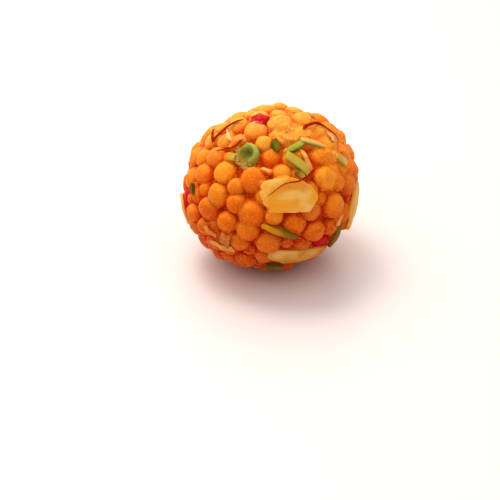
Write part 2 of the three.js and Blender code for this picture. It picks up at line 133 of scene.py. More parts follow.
# painted shade in the middle of the cup's hollow
CUP_PIT_SHADE = (0.10, 0.085, 0.010)
RIPE_YELLOW = (0.66, 0.26, 0.010)
ALMOND_CREAM = (0.98, 0.57, 0.160)
ALMOND_GOLD = (0.96, 0.36, 0.022)
ALMOND_AMBER = (0.84, 0.25, 0.012)
ALMOND_BROWN = (0.34, 0.17, 0.018)
SOAKED_CHIP = (0.48, 0.088, 0.004)
RIPE_CHIP = (0.84, 0.20, 0.012)
CHIP_EDGE = (0.74, 0.245, 0.032)
PALE_CHIP = (0.76, 0.26, 0.040)
DULL_CHIP = (0.64, 0.175, 0.020)
PEACH_CHIP = (0.84, 0.34, 0.060)
WHITE_CHIP = (0.95, 0.62, 0.260)
SAFFRON_DARK = (0.15, 0.006, 0.000)
SAFFRON_BRIGHT = (0.46, 0.034, 0.001)
SYRUP_RED = (0.52, 0.004, 0.006)
SYRUP_PINK = (0.80, 0.080, 0.085)
STAINED_RED = (0.58, 0.012, 0.004)  # of the paste that touches a red pearl
PLATE_WHITE = (0.80, 0.71, 0.675)

# Pistachio slivers: place, heading, (length, width, thickness), the colours of the two ends, and how
# wide each end is as a share of the middle.
SLIVER_PROUD = 0.4
SLIVERS = [
    ((6.5, -0.6), -25, (10.7, 2.0, 1.7), RIPE_YELLOW, OLIVE, (0.45, 0.40)),
    ((25, 43), -51, (7.8, 2.6, 1.5), YELLOW_GREEN, YELLOW_GREEN, (0.85, 1.0)),
    ((28.5, 54.7), 12, (6.3, 1.8, 1.6), FRESH_GREEN, FRESH_GREEN, (0.25, 0.85)),
    ((51.5, 52), -43, (7.6, 1.5, 1.1), PALE_GREEN, PALE_GREEN, (0.95, 0.2)),
    ((66.4, 32.8), -60, (4.4, 2.3, 1.1), SOAKED_PISTACHIO, PALE_GREEN, (0.80, 0.9)),
    ((7.8, 58.6), 105, (3.7, 2.1, 1.8), STUB_GREEN, DARK_GREEN, (0.60, 0.70)),
    ((-63, 13), 125, (3.2, 1.4, 1.2), OLIVE, DARK_GREEN, (0.50, 0.80)),
    ((51, -15.8), 79, (8.6, 2.4, 1.2), OLIVE, OLIVE, (0.40, 0.30)),
    ((4, -37), -8, (5.0, 2.4, 1.6), DARK_GREEN, OLIVE, (0.80, 0.90)),
    ((-41, 44.5), 15, (3.6, 2.3, 1.1), RIPE_CHIP, YELLOW_GREEN, (0.40, 0.90)),
    ((23.6, 35.6), -45, (3.2, 1.7, 1.2), OLIVE, SOAKED_PISTACHIO, (0.7, 0.5)),
]
# More of them, scattered over the far side: within a reach in degrees of its middle.
BACK_SLIVERS = 9
BACK_SLIVER_SIZE = (7.6, 2.1, 1.5)
BACK_SLIVER_GROWN = (0.75, 1.25)
BACK_SLIVER_ENDS = [(FRESH_GREEN, YELLOW_GREEN), (YELLOW_GREEN, DARK_GREEN), (PALE_GREEN, FRESH_GREEN)]
BACK_SLIVER_APART = 9
BACK_LON = (95, 265)
BACK_LAT = (-38, 54)
BACK_MIDDLE = (180, -18)
BACK_REACH = 55

# Broken almond bits: place, heading, length, width and thickness, and colour.
ALMOND_BITS = [
    ((-29.6, -10.4), 82, (4.8, 3.0, 0.9), SOAKED_CHIP),
    ((-33, -16.6), -2, (7.6, 1.9, 0.9), PALE_CHIP),
    ((-40.3, -7), -24, (4.6, 1.6, 0.9), DULL_CHIP),
    ((33, 44.2), -76, (6.4, 1.3, 0.9), PEACH_CHIP),
    ((49.2, -1.7), 39, (3.4, 1.0, 0.9), PEACH_CHIP),
    ((-3.2, 40.4), -14, (2.8, 0.8, 0.8), WHITE_CHIP),
    ((-64.5, 57), -24, (5.4, 0.8, 1.0), WHITE_CHIP),
    ((59.6, 38), 62, (3.0, 1.0, 0.8), PALE_CHIP),
    ((-46.3, 56), 69, (4.8, 1.8, 1.2), RIPE_CHIP),
    ((75.5, 47.2), 75, (3.4, 1.6, 0.8), WHITE_CHIP),
]

# The halved pistachio, and how much of its height pushes the pearls down. The red pearl that has crumbled.
CUP = dict(at=(-24.5, 50), across=6.4, height=3.0, hollow=1.0, proud=0.35)
CUP_BED = 0.6
RED_CRUMBLE = dict(at=(-48, 79.5), bits=6, reach=2.4, size=1.6)

# Saffron strands: the way each takes over the ball, and its half width at its two ends.
STRANDS = [
    ([(-73.4, 45.3), (-76.4, 50), (-75.2, 56), (-77.6, 61.7), (-79.6, 67), (-76.9, 71.4)], 0.54, 0.26),
    ([(-73.4, 45.3), (-78, 47.4), (-93.4, 48.7)], 0.42, 0.34),
    ([(-57.6, 43.9), (-47.8, 48.8), (-39.8, 53.2), (-37.6, 55.8), (-37, 58.3)], 0.22, 0.32),
    ([(54.2, 63.6), (64.5, 63.3), (75, 60.8), (81.8, 57.4), (81.4, 50), (82.9, 40.6)], 0.54, 0.16),
    ([(146, 40), (158, 36), (171, 12), (180, 4)], 0.15, 0.36),
    ([(-142, 30), (-152, 40), (-172, 44)], 0.36, 0.15),
    ([(118, 2), (128, 12), (133, 24)], 0.15, 0.36),
]

# ---- The ball's geometry, as whole arrays -----------------------------------------------------


def lerp(a, b, t):
    """a where t is 0, b where it is 1, and in proportion between. Both may be colours."""
    return np.asarray(a) + np.subtract(b, a) * t


def eased(low, high, x):
    """0 up to low, 1 from high on, and a smooth step between. Low may be the larger of the two."""
    t = np.clip((x - low) / (high - low), 0, 1)
    return t * t * (3 - 2 * t)


def scrambled(x):
    """A number from 0 to 1 that seems random: what a large sine has after the point."""
    s = np.sin(x) * 43758.5453
    return s - np.floor(s)


def draw(i, k):
    """A repeatable number from 0 to 1, for item i, or an array of them, and its k-th draw."""
    return scrambled(np.asarray(i, float) * 12.9898 + k * 78.233)


def random_way(i, k):
    """Unit vectors spread evenly over the ball: draw k gives the height, and the next one the turn."""
    z = 2 * draw(i, k) - 1
    turn = 2 * math.pi * draw(i, k + 1)
    across = np.sqrt(1 - z * z)
    return np.stack([across * np.cos(turn), across * np.sin(turn), z], -1)


def random_lean(i, k):
    """Unit vectors from the middle of a box to a random point of it, by draws k to k + 2."""
    return unit(np.stack([draw(i, k), draw(i, k + 1), draw(i, k + 2)], -1) - 0.5)


def towards(lon, lat):
    """Unit vectors from the ball's middle, for angles in degrees."""
    lon, lat = np.broadcast_arrays(np.radians(lon), np.radians(lat))
    return np.stack([np.sin(lon) * np.cos(lat), -np.cos(lon) * np.cos(lat), np.sin(lat)], -1)


def unit(v):
    """Vectors brought to a length of one."""
    return v / np.linalg.norm(v, axis=-1, keepdims=True)


def envelope(d):
    """Distance to the leaning ellipsoid along d: one over the length of d in the ellipsoid's half axes."""
    c, s = math.cos(LEAN), math.sin(LEAN)
    along = (c * d[..., 0] + s * d[..., 2]) / HALF_LENGTH
    upright = (c * d[..., 2] - s * d[..., 0]) / HALF_HEIGHT
    return 1 / np.sqrt(along**2 + (d[..., 1] / HALF_DEPTH) ** 2 + upright**2)


def smeared(d):
    """How crushed the surface is along d: 1 in the middle of a smear, eased to 0 at its reach."""
    most = np.zeros(d.shape[:-1])
    for lon, lat, reach in SMEARS:
        off = np.degrees(np.arccos(np.clip(d @ towards(lon, lat), -1, 1))) / reach
        most = np.maximum(most, 1 - eased(SMEAR_CORE, 1, off))
    return most


def crumb(d):
    """Distance to the bound crumb: the envelope less a depth that is smaller where it is smeared."""
    return envelope(d) - lerp(CRUMB_DEPTH, SMEARED_DEPTH, smeared(d))


class Spot:
    """Where a topping lies: its origin is on the envelope, or lifted over it, x runs along the heading (0
    is east, 90 north), and z points out of the ball."""

    def __init__(self, at, heading, lift=0.0):
        lon, lat = at
        out = towards(lon, lat)
        east = np.array([math.cos(math.radians(lon)), math.sin(math.radians(lon)), 0])
        north = np.cross(out, east)
        turn = math.radians(heading)
        along = math.cos(turn) * east + math.sin(turn) * north
        self.axes = np.array([along, np.cross(out, along), out])
        self.origin = out * (envelope(out) + lift)

    def inward(self, p):
        """The ball's points p, in the spot's axes."""
        return (p - self.origin) @ self.axes.T

    def outward(self, q):
        """The spot's points q, in the ball's axes."""
        return self.origin + q @ self.axes


def flake_reach(flake, t):
    """Distance from a flake's middle to its edge along the angle t: an egg, cut by straight breaks."""
    length, width = flake["size"]
    blunt = width / 2 * (1 + FLAKE_BLUNT * np.cos(t))
    reach = 1 / np.hypot(np.cos(t) / (length / 2), np.sin(t) / blunt)
    for facing, distance in flake["breaks"]:
        facing_it = np.cos(t - math.radians(facing))
        reach = np.where(facing_it > 0, np.minimum(reach, distance / np.maximum(facing_it, 1e-6)), reach)
    return reach


class Topping:
    """What a topping does to its bed: its spot, the depth of its underside, how far its outer face
    stands out, the radius it is bent to, and the distance outside its outline."""

    def __init__(self, spot, under, over, bend, outside):
        self.spot = spot
        self.under = under
        self.over = over
        self.bend = bend
        self.outside = outside

    def levels(self, d):
        """Distances to its underside and its outer face along each d, and how far outside it d runs."""
        far = envelope(d)
        x, y, z = np.moveaxis(self.spot.inward(d * far[:, None]), -1, 0)
        outside = np.where(z > -HALF_DEPTH / 2, self.outside(x, y), HALF_DEPTH)
        bent = far - z - (x * x + y * y) / (2 * self.bend)
        return bent - self.under, bent + self.over, outside


def footprints(slivers):
    """Where toppings push the pearls down: the flakes, slivers as bars with round ends, and the cup."""

    def outside_flake(flake):
        """How far a point is past the flake's edge, along the line from its middle."""
        return lambda x, y: np.maximum(0, np.hypot(x, y) - flake_reach(flake, np.arctan2(y, x)))

    def outside_bar(length, width):
        """How far a point is past a straight bar with half circles at its ends."""
        straight = (length - width) / 2
        return lambda x, y: np.maximum(0, np.hypot(np.maximum(0, np.abs(x) - straight), y) - width / 2)

    prints = []
    for f in FLAKES.values():
        spot = Spot(f["at"], f["heading"])
        prints.append(Topping(spot, FLAKE_THICK - f["lift"], f["lift"], f["bend"], outside_flake(f)))
    for at, heading, (length, width, thick) in slivers:
        outside = outside_bar(length, width)
        prints.append(Topping(Spot(at, heading), thick - SLIVER_PROUD, SLIVER_PROUD, HALF_DEPTH, outside))
    round_cup = outside_bar(CUP["across"], CUP["across"])
    prints.append(Topping(Spot(CUP["at"], 0), CUP["height"] * CUP_BED, CUP["proud"], HALF_DEPTH, round_cup))
    return prints


def pressed_under(prints, d, radius):
    """How far under the envelope the top of a pearl along d has to lie, to fit under the toppings."""
    depth = -math.inf
    p = d * envelope(d)
    for topping in prints:
        x, y, z = topping.spot.inward(p)
        gap = float(topping.outside(x, y))
        if z >= -2 * radius and gap < radius:
            depth = max(depth, topping.under - (radius - math.sqrt(radius**2 - gap**2)))
    return depth


def pearls_to_try(sizes, tries, spread, tops, k):
    """A direction, a radius and how far the top stands out, for one random pearl after another, from
    draws k to k + 3: so many tries for each size."""
    tried = 0
    for size, count in zip(sizes, tries):
        for _ in range(count):
            tried += 1
            radius = size * (1 + spread * (draw(tried, k + 2) - 0.5))
            yield random_way(tried, k), radius, lerp(*tops, draw(tried, k + 3))


def lay_pearls(prints):
    """The pearls' centres, radii and whether each is red: those listed, the red ones, and then ever
    smaller ones wherever a random direction still has room."""
    spots, centres, radii, reds = [], [], [], []

    def add(d, radius, top, red):
        """A pearl along d, its top so far out of the envelope or as deep as a topping presses it."""
        depth = max(-top, pressed_under(prints, d, radius))
        spots.append(d * (envelope(d) - radius))
        centres.append(d * (envelope(d) - depth - radius))
        radii.append(radius)
        reds.append(red)

    for pearls, red in ((SET_PEARLS, False), (RED_PEARLS, True)):
        for lon, lat, across in pearls:
            add(towards(lon, lat), across / 2, PEARL_PROUD, red)
    for d, radius, top in pearls_to_try(PEARL_SIZES, PEARL_TRIES, PEARL_SPREAD, PEARL_TOPS, 1):
        apart = np.linalg.norm(np.array(spots) - d * (envelope(d) - radius), axis=1)
        if (apart >= PEARL_PACKING * (np.array(radii) + radius)).all():
            add(d, radius, top, False)
    return np.array(centres), np.array(radii), np.array(reds)


def scatter_back_slivers():
    """Slivers for the far side, each at least a set distance from every other topping."""
    toppings = [flake["at"] for flake in FLAKES.values()] + [sliver[0] for sliver in SLIVERS] + [CUP["at"]]
    taken = [towards(*at) for at in toppings]
    length, width, thick = BACK_SLIVER_SIZE
    made = []
    i = 0
    while len(made) < BACK_SLIVERS:
        i += 1
        at = (lerp(*BACK_LON, draw(i, 11)), lerp(*BACK_LAT, draw(i, 12)))
        d = towards(*at)
        if d @ towards(*BACK_MIDDLE) < math.cos(math.radians(BACK_REACH)):
            continue
        if (np.arccos(np.clip(np.array(taken) @ d, -1, 1)) * HALF_DEPTH < BACK_SLIVER_APART).any():
            continue
        taken.append(d)
        size = (length * lerp(*BACK_SLIVER_GROWN, draw(i, 13)), width, thick)
        widths = (lerp(0.3, 0.9, draw(i, 15)), lerp(0.4, 1.0, draw(i, 16)))
        made.append((at, 180 * draw(i, 14), size, *BACK_SLIVER_ENDS[i % len(BACK_SLIVER_ENDS)], widths))
    return made


ALL_SLIVERS = SLIVERS + scatter_back_slivers()
PRINTS = footprints([s[:3] for s in ALL_SLIVERS + ALMOND_BITS])
CENTRES, RADII, REDS = lay_pearls(PRINTS)
SHOWN = len(RADII)

# Smaller pearls that lie deeper, in the gaps between the others. The packings say how near two middles may
# come, as a share of their radii: to most pearls, to those listed and to the red ones.
FILLER_SIZES = [2.6, 2.25, 1.95, 1.65]
FILLER_TRIES = [1500, 2000, 2500, 3000]
FILLER_SPREAD = 0.2
FILLER_TOPS = (-1.6, -0.6)
FILLER_PACKING = 0.78
FILLER_CLEARS_SET = 0.93
FILLER_CLEARS_RED = 1.15


def lay_fillers():
    """The centres and radii of all pearls, once smaller ones have gone wherever a random direction has
    room for them, by the packings above."""
    centres, radii = list(CENTRES), list(RADII)
    closest = np.full(SHOWN, FILLER_PACKING)
    closest[:len(SET_PEARLS)] = FILLER_CLEARS_SET
    closest[REDS] = FILLER_CLEARS_RED
    for d, radius, top in pearls_to_try(FILLER_SIZES, FILLER_TRIES, FILLER_SPREAD, FILLER_TOPS, 5):
        depth = max(-top, pressed_under(PRINTS, d, radius))
        centre = d * (envelope(d) - depth - radius)
        apart = np.linalg.norm(np.array(centres) - centre, axis=1)
        packing = np.append(closest, np.full(len(radii) - SHOWN, FILLER_PACKING))
        if (apart >= packing * (np.array(radii) + radius)).all():
            centres.append(centre)
            radii.append(radius)
    return np.array(centres), np.array(radii)


CENTRES, RADII = lay_fillers()
REDS = np.concatenate([REDS, np.zeros(len(RADII) - SHOWN, bool)])

# ---- Noise, grids and meshes ------------------------------------------------------------------


def noise(p):
    """Smooth noise from -1 to 1: random numbers at whole-number points, mixed with eased weights."""
    cell = np.floor(p)
    share = p - cell
    share = share * share * (3 - 2 * share)
    total = np.zeros(p.shape[:-1])
    for corner in np.ndindex(2, 2, 2):
        corner = np.array(corner)
        value = scrambled((cell + corner) @ np.array([12.9898, 78.233, 37.719]))
        total += value * np.prod(np.where(corner, share, 1 - share), -1)
    return 2 * total - 1


def layered(p, layers=3):
    """Noise on noise: each layer is turned, twice as fine as the last and half as strong."""
    turned = np.array([[0.36, 0.48, -0.80], [-0.80, 0.60, 0.0], [0.48, 0.64, 0.60]])
    total = np.zeros(p.shape[:-1])
    for layer in range(layers):
        total += noise(p) / 2**layer
        p = 2 * p @ turned + 7.3
    return total


def ball_grid(n):
    """Unit vectors and quads of a ball: the six faces of a cube, n by n each, blown up, with their
    shared edges merged."""
    a = np.tan(np.linspace(-1, 1, n + 1) * math.pi / 4)
    u, v = np.meshgrid(a, a, indexing="ij")
    x, y, z = np.eye(3)
    points, quads = [], []
    at = np.arange((n + 1) ** 2).reshape(n + 1, n + 1)
    square = np.stack([at[:-1, :-1], at[1:, :-1], at[1:, 1:], at[:-1, 1:]], -1).reshape(-1, 4)
    for side, (out, along, up) in enumerate(
        [(x, y, z), (-x, z, y), (y, z, x), (-y, x, z), (z, x, y), (-z, y, x)]
    ):
        points.append((out + u[..., None] * along + v[..., None] * up).reshape(-1, 3))
        quads.append(square + side * (n + 1) ** 2)
    points = unit(np.concatenate(points))
    _, first, same = np.unique(np.round(points, 6), axis=0, return_index=True, return_inverse=True)
    return points[first], same.reshape(-1)[np.concatenate(quads)]


def turns(count):
    """So many angles, evenly round a circle."""
    return 2 * math.pi * np.arange(count) / count


def circle(t, up=0):
    """Points of a circle about z at the angles t, lifted by up."""
    return np.stack([np.cos(t), np.sin(t), up + 0 * t], -1)


def copies(quads, size, count):
    """The quads of so many copies of a mesh that has size points."""
    return (quads[None] + size * np.arange(count)[:, None, None]).reshape(-1, 4)


def closed_rings(rings):
    """Points and faces of a closed skin over an array of rings (rings, points, 3), with a point in the
    middle of the first and of the last one. Seen from the last, the rings run anticlockwise."""
    count, around = rings.shape[:2]
    points = np.concatenate([rings.reshape(-1, 3), rings[[0, -1]].mean(1)])
    k = np.arange(around)
    after = (k + 1) % around
    row = np.arange(count - 1)[:, None] * around
    quads = np.stack([row + k, row + after, row + around + after, row + around + k], -1)
    end = (count - 1) * around
    first = np.full(around, count * around)
    fans = [np.stack([first, after, k], -1), np.stack([first + 1, end + k, end + after], -1)]
    return points, [quads.reshape(-1, 4), *fans]


def as_points(values, rings):
    """A value for each ring point, and the mean of an end ring for its middle, as closed_rings has them."""
    values = np.asarray(values, float)
    values = np.broadcast_to(values, rings.shape[:2] + values.shape[2:])
    flat = values.reshape(-1, *values.shape[2:])
    return np.concatenate([flat, values[[0, -1]].mean(1)])


def part_of(points, faces, tints):
    """A part for make_piece, from arrays of points and tints with any number of axes."""
    return points.reshape(-1, 3), [faces], np.broadcast_to(tints, points.shape).reshape(-1, 3)


def skin_on(spot, shape, tint):
    """A part for make_piece: rings in a spot's axes, closed, with a tint for each point."""
    return *closed_rings(spot.outward(shape)), as_points(tint, shape)


def make_piece(name, parts, finish, crease=None):
    """One mesh from parts, each of points in millimetres, faces and a tint for each point."""
    points = np.concatenate([part[0] for part in parts])
    tints = np.concatenate([np.broadcast_to(part[2], part[0].shape) for part in parts])
    faces, start = [], 0
    for part in parts:
        for group in part[1]:
            faces += (group + start).tolist()
        start += len(part[0])
    mesh = bpy.data.meshes.new(name)
    mesh.from_pydata((points + (0, 0, MIDDLE_Z)) * MM, [], faces)
    mesh.validate()
    colours = np.concatenate([tints, np.ones((len(tints), 1))], 1)
    mesh.attributes.new("tint", "FLOAT_COLOR", "POINT").data.foreach_set("color", colours.ravel())
    mesh.shade_smooth()
    if crease:
        mesh.set_sharp_from_angle(angle=math.radians(crease))
    mesh.materials.append(finish)
    piece = bpy.data.objects.new(name, mesh)
    bpy.context.scene.collection.objects.link(piece)
    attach(piece, "root")
    return piece


def smooth_path(points, count):
    """A curve through the points: cubic pieces, each point's slope being that of its neighbours' line."""
    points = np.asarray(points, float)
    knots = np.concatenate([[0], np.cumsum(np.linalg.norm(np.diff(points, axis=0), axis=1))])
    slopes = np.gradient(points, knots, axis=0)
    u = np.linspace(0, knots[-1], count)
    k = np.clip(np.searchsorted(knots, u, "right") - 1, 0, len(points) - 2)
    span = (knots[k + 1] - knots[k])[:, None]
    s = (u - knots[k])[:, None] / span
    return (
        (2 * s**3 - 3 * s**2 + 1) * points[k]
        + (s**3 - 2 * s**2 + s) * span * slopes[k]
        + (3 * s**2 - 2 * s**3) * points[k + 1]
        + (s**3 - s**2) * span * slopes[k + 1]
    )


def smooth_least(a, b, blend):
    """The lesser of a and b, rounded off where they are within blend of each other."""
    near = np.maximum(blend - np.abs(a - b), 0) / blend
    return np.minimum(a, b) - near * near * blend / 4


def trimmed(reach, facing, plane, blend):
    """How far a ball reaches each way once a plane has cut it, with an edge rounded within blend. The cut
    lies at the plane's distance over facing, the cosine between that way and the plane's own."""
    least = 0.05
    cut = plane / np.maximum(facing, least)
    return np.where(facing > least, smooth_least(reach, cut, blend), reach)


def above_the_plate(points):
    """Points no lower than the plate: what would reach below it is pressed flat."""
    return np.concatenate([points[..., :2], np.maximum(points[..., 2:], -MIDDLE_Z)], -1)


# ---- Pearls -----------------------------------------------------------------------------------

PEARL_GRID = 9
FILLER_GRID = 6
PEARL_GROWN = (1.06, 1.22)  # pearls bulge into the gaps between them, to so many times their radius
RED_GROWN = 1.16
BULGE_TOWARDS = 3  # the neighbour whose gap they bulge into, counted from 0
BULGE_SHARE = 0.5
BULGE_MORE = 0.15
PEARL_NEIGHBOURS = 12
CONTACT_GAP = 0.05
CONTACT_ROUND = 0.55
SLOW_LUMPS = 0.058
SMALL_LUMPS = 0.022
CRUSHED_LUMPS = 2.2  # how much stronger the lumps are in a smear
CRUSHED_ROUGH = 0.36
PALM_FLAT = (1.05, 0.99)  # the palm stops at this share of a pearl's radius, from and to
PALM_CRUSH = 0.8  # and this much further in where a smear is
PALM_ROUND = 0.7
PAINTED_UNDER_SHADE = 0.90  # painted shade on a pearl's under side, as a share of deep orange

PEARL_OUT = unit(CENTRES)
PEARL_CRUSHED = smeared(PEARL_OUT)


def bulged():
    """Each pearl's radius once it has bulged: over a share of the gap to the neighbour that is fourth
    nearest to its skin, and a little on, within limits. The least is more for a red one."""
    apart = np.linalg.norm(CENTRES[:, None] - CENTRES[None], axis=-1)
    np.fill_diagonal(apart, np.inf)
    gaps = np.sort(apart - RADII[:, None] - RADII[None], axis=1)[:, BULGE_TOWARDS]
    least = np.where(REDS, RED_GROWN, PEARL_GROWN[0])
    return np.clip(RADII + BULGE_SHARE * gaps + BULGE_MORE, least * RADII, PEARL_GROWN[1] * RADII)


BULGED = bulged()
# How far from its middle the palm has pressed each pearl flat.
PALM = RADII * lerp(*PALM_FLAT, draw(np.arange(len(RADII)), 33)) - PALM_CRUSH * PEARL_CRUSHED


def pearl_tints():
    """A colour for each pearl, from deep over warm to golden orange: deeper and darker low on the ball and
    more golden high up, a painted shade and painted light, and each differs a little by its own draws. Some
    are frosted with sugar, and the topmost turn to pale gold, a painted highlight. The red ones have the
    stain that they leave on what they touch."""
    i = np.arange(len(RADII))
    x, y, z = CENTRES.T
    # painted light and shade: pearls run from deep orange low on the ball to gold high up
    high = eased(-14, 20, z + 0.04 * x)
    ripe = np.clip(-0.06 + 0.88 * high + 0.55 * (draw(i, 31) - 0.5), 0, 1)[:, None]
    tints = lerp(DEEP_ORANGE, WARM_ORANGE, np.minimum(2 * ripe, 1))
    tints = lerp(tints, GOLD_ORANGE, np.maximum(2 * ripe - 1, 0))
    tints = lerp(tints, FROSTED_ORANGE, 0.55 * eased(0.62, 0.95, draw(i, 34))[:, None])
    # painted light: the topmost pearls turn pale gold
    tints = lerp(tints, PAINTED_TOP_LIGHT_GOLD, 0.85 * eased(12, 22, z - 0.2 * x + 0.25 * y)[:, None])
    # painted shade: darker towards the bottom of the ball, with a little random tone for each pearl
    shade = lerp(0.78, 1.0, eased(-20, 14, z)) * lerp(0.92, 1.06, draw(i, 32))
    return np.where(REDS[:, None], STAINED_RED, tints * shade[:, None])


PEARL_TINTS = pearl_tints()


def painted_pearl_light_and_shade(tints, out):
    """Tints turned to deep orange on the under side and to gold on the upper side, by the height of the
    direction out of a pearl's middle: painted shade below and painted light above."""
    high = out[..., 2:] - 0.25 * out[..., :1]
    tints = lerp(tints, np.multiply(DEEP_ORANGE, PAINTED_UNDER_SHADE), 0.85 * eased(0.35, -0.8, high))
    return lerp(tints, GOLD_ORANGE, 0.40 * eased(0.1, 1.0, high))


def crush_and_crevice_shade(tints, points):
    """Tints that turn to peach where the pearls are crushed, in patches, and more high up as painted light;
    and down in the crevices to deep red, or to deep orange high on the ball, as painted shade."""
    far = np.linalg.norm(points, axis=-1)
    d = points / far[..., None]
    depth = envelope(d) - far
    high = points[..., 2]
    crushed = smeared(d) * eased(1.6, 0.2, depth) * np.clip(0.7 + 0.5 * layered(points / 1.7), 0, 1)
    # the crushed pearls' own peach, made stronger high up as painted light
    peach = crushed * lerp(0.15, 0.60, eased(9, 19, high))
    tints = lerp(tints, CRUSHED_PEACH, peach[..., None])
    # painted shade: deep red down in the crevices, deep orange high on the ball
    crevice_shade = lerp(CREVICE_SHADE_RED, DEEP_ORANGE, eased(-2, 16, high)[..., None])
    return lerp(tints, crevice_shade, 0.95 * eased(0.5, 2.0, depth)[..., None])


def pearl_shapes(which, n):
    """Pearls as balls with slow lumps: each direction's reach is trimmed by the plane shared with each
    neighbour and by the palm that pressed on the outer side. In a smear they are lumpier and rough."""
    grid, quads = ball_grid(n)
    rows = np.arange(len(which))
    centres = CENTRES[which]
    offset = 11.7 * which[:, None, None]
    lumps = SLOW_LUMPS * layered(1.2 * grid[None] + offset, 2)
    lumps = lumps + SMALL_LUMPS * layered(3.3 * grid[None] - offset, 2)
    crushed = PEARL_CRUSHED[which][:, None]
    reach = BULGED[which][:, None] * (1 + lumps * (1 + CRUSHED_LUMPS * crushed))

    apart = CENTRES[None] - centres[:, None]
    distance = np.linalg.norm(apart, axis=-1)
    distance[rows, which] = np.inf
    nearest = np.argsort(distance - RADII[None], axis=1)[:, :PEARL_NEIGHBOURS]
    for near in nearest.T:
        away = distance[rows, near]
        plane = (away**2 + BULGED[which] ** 2 - BULGED[near] ** 2) / (2 * away) - CONTACT_GAP / 2
        facing = (grid @ unit(apart[rows, near]).T).T
        reach = trimmed(reach, facing, plane[:, None], CONTACT_ROUND)
    reach = trimmed(reach, (grid @ PEARL_OUT[which].T).T, PALM[which][:, None], PALM_ROUND)

    points = centres[:, None] + reach[..., None] * grid[None]
    rough = CRUSHED_ROUGH * crushed * layered(points / 1.2, 3)
    points = above_the_plate(points + rough[..., None] * grid[None])
    # painted shade under each pearl and painted light on its top
    tints = painted_pearl_light_and_shade(PEARL_TINTS[which][:, None], grid[None])
    return points, copies(quads, len(grid), len(which)), tints


# ---- The paste between the pearls -------------------------------------------------------------

PASTE_GRID = 120
PASTE_BLEND = 0.30  # how softly the paste rises against a pearl
PASTE_SUNK = 0.18  # how far it stays inside a clean pearl's skin
PASTE_SMEAR = 0.45  # less this much in a smear, where it covers the pearls
RED_SUNK = 0.6  # and how much further inside a red one's
PASTE_DEPTH = (1.4, 0.15)  # how far under the crumb its bed is, where clean and where smeared
PASTE_CAP = (1.5, 0.1)  # how far over the envelope it may stand, where clean and where smeared
BED_REACH = 0.5  # the paste rises under a topping and this far round it
BED_GRIP = 0.05  # to a little over its underside, and falls off at a slope
BED_SLOPE = 1.5
BED_CLEAR = 1.3  # and it stands no higher than a gentler slope out from there, this far round it
BED_RISE = 0.7
PASTE_CHUNK = 4000  # directions worked out at a time
PASTE_START = 0.6  # the first step's height over the envelope
PASTE_STEPS = 18
PASTE_NEIGHBOURS = 10
TINT_REACH = 0.5  # how far from a pearl the paste takes its tint


def paste_top(d):
    """Distance to the paste along each d, and its tint. The paste is where the smooth union of its bed and
    the pearls, a little shrunk but swollen in a smear, has its skin, found by stepping inwards along d.
    The bed is the roughened crumb, raised under the toppings. A rough cap levels the paste, and round a
    topping it stays under a slope. The tint is the pearls', each weighed by how close it is."""
    crushed = smeared(d)
    rough = 0.30 * layered(d * HALF_DEPTH / 2.1) + 0.12 * layered(d * HALF_DEPTH / 0.8, 2)
    bed = crumb(d) - lerp(*PASTE_DEPTH, crushed) + rough * (1 + 0.5 * crushed)
    cap = envelope(d) + lerp(*PASTE_CAP, crushed) + 0.9 * rough
    for topping in PRINTS:
        under, _, outside = topping.levels(d)
        bed = np.where(outside < BED_REACH, np.maximum(bed, under + BED_GRIP - BED_SLOPE * outside), bed)
        cap = np.where(outside < BED_CLEAR, np.minimum(cap, under + BED_GRIP + BED_RISE * outside), cap)
    sunk = PASTE_SUNK - PASTE_SMEAR * crushed * (1 + 0.9 * layered(d * HALF_DEPTH / 2.2, 2))
    top, tints = np.empty(len(d)), np.empty((len(d), 3))
    for part in np.array_split(np.arange(len(d)), max(1, len(d) // PASTE_CHUNK)):
        way = d[part]
        r = envelope(way) + PASTE_START
        gaps = np.linalg.norm((way * r[:, None])[:, None] - CENTRES[None], axis=-1) - RADII[None]
        near = np.argpartition(gaps, PASTE_NEIGHBOURS, axis=1)[:, :PASTE_NEIGHBOURS]
        radii = BULGED[near] - sunk[part][:, None] - RED_SUNK * REDS[near]
        for _ in range(PASTE_STEPS):
            gaps = np.linalg.norm((way * r[:, None])[:, None] - CENTRES[near], axis=-1) - radii
            gaps = np.concatenate([gaps, (r - bed[part])[:, None]], 1)
            least = gaps.min(1, keepdims=True)
            weights = np.exp(-(gaps - least) / PASTE_BLEND)
            r = r - (least[:, 0] - PASTE_BLEND * np.log(weights.sum(1)))
        closeness = np.exp(-gaps[:, :-1] / TINT_REACH)
        top[part] = r
        tints[part] = (closeness[..., None] * PEARL_TINTS[near]).sum(1) / closeness.sum(1, keepdims=True)
    return np.minimum(top, cap), tints


def heap_top(d):
    """Distance to the outside of the heap along each d: the crumb, or the skin of the pearl that reaches
    furthest, where that skin is a ball cut off by the palm."""
    along = d @ CENTRES.T
    middle = np.linalg.norm(CENTRES, axis=1)
    room = np.maximum(BULGED**2 + along**2 - middle**2, 0)
    palm = (middle + PALM) * middle / np.maximum(along, 0.1)
    over = np.where((room > 0) & (along > 0), np.minimum(along + np.sqrt(room), palm), 0)
    return np.maximum(crumb(d), over.max(1))


ON_TOPPING = 0.3  # how far outside a topping's outline a strand still rests on it


def strand_bed(d):
    """Distance to what a strand lies on along each d: the highest of the heap, the paste and, where there
    is a topping, its outer face."""
    top = np.maximum(heap_top(d), paste_top(d)[0])
    for topping in PRINTS:
        _, over, outside = topping.levels(d)
        top = np.where(outside < ON_TOPPING, np.maximum(top, over), top)
    return top


# ---- Finishes ---------------------------------------------------------------------------------


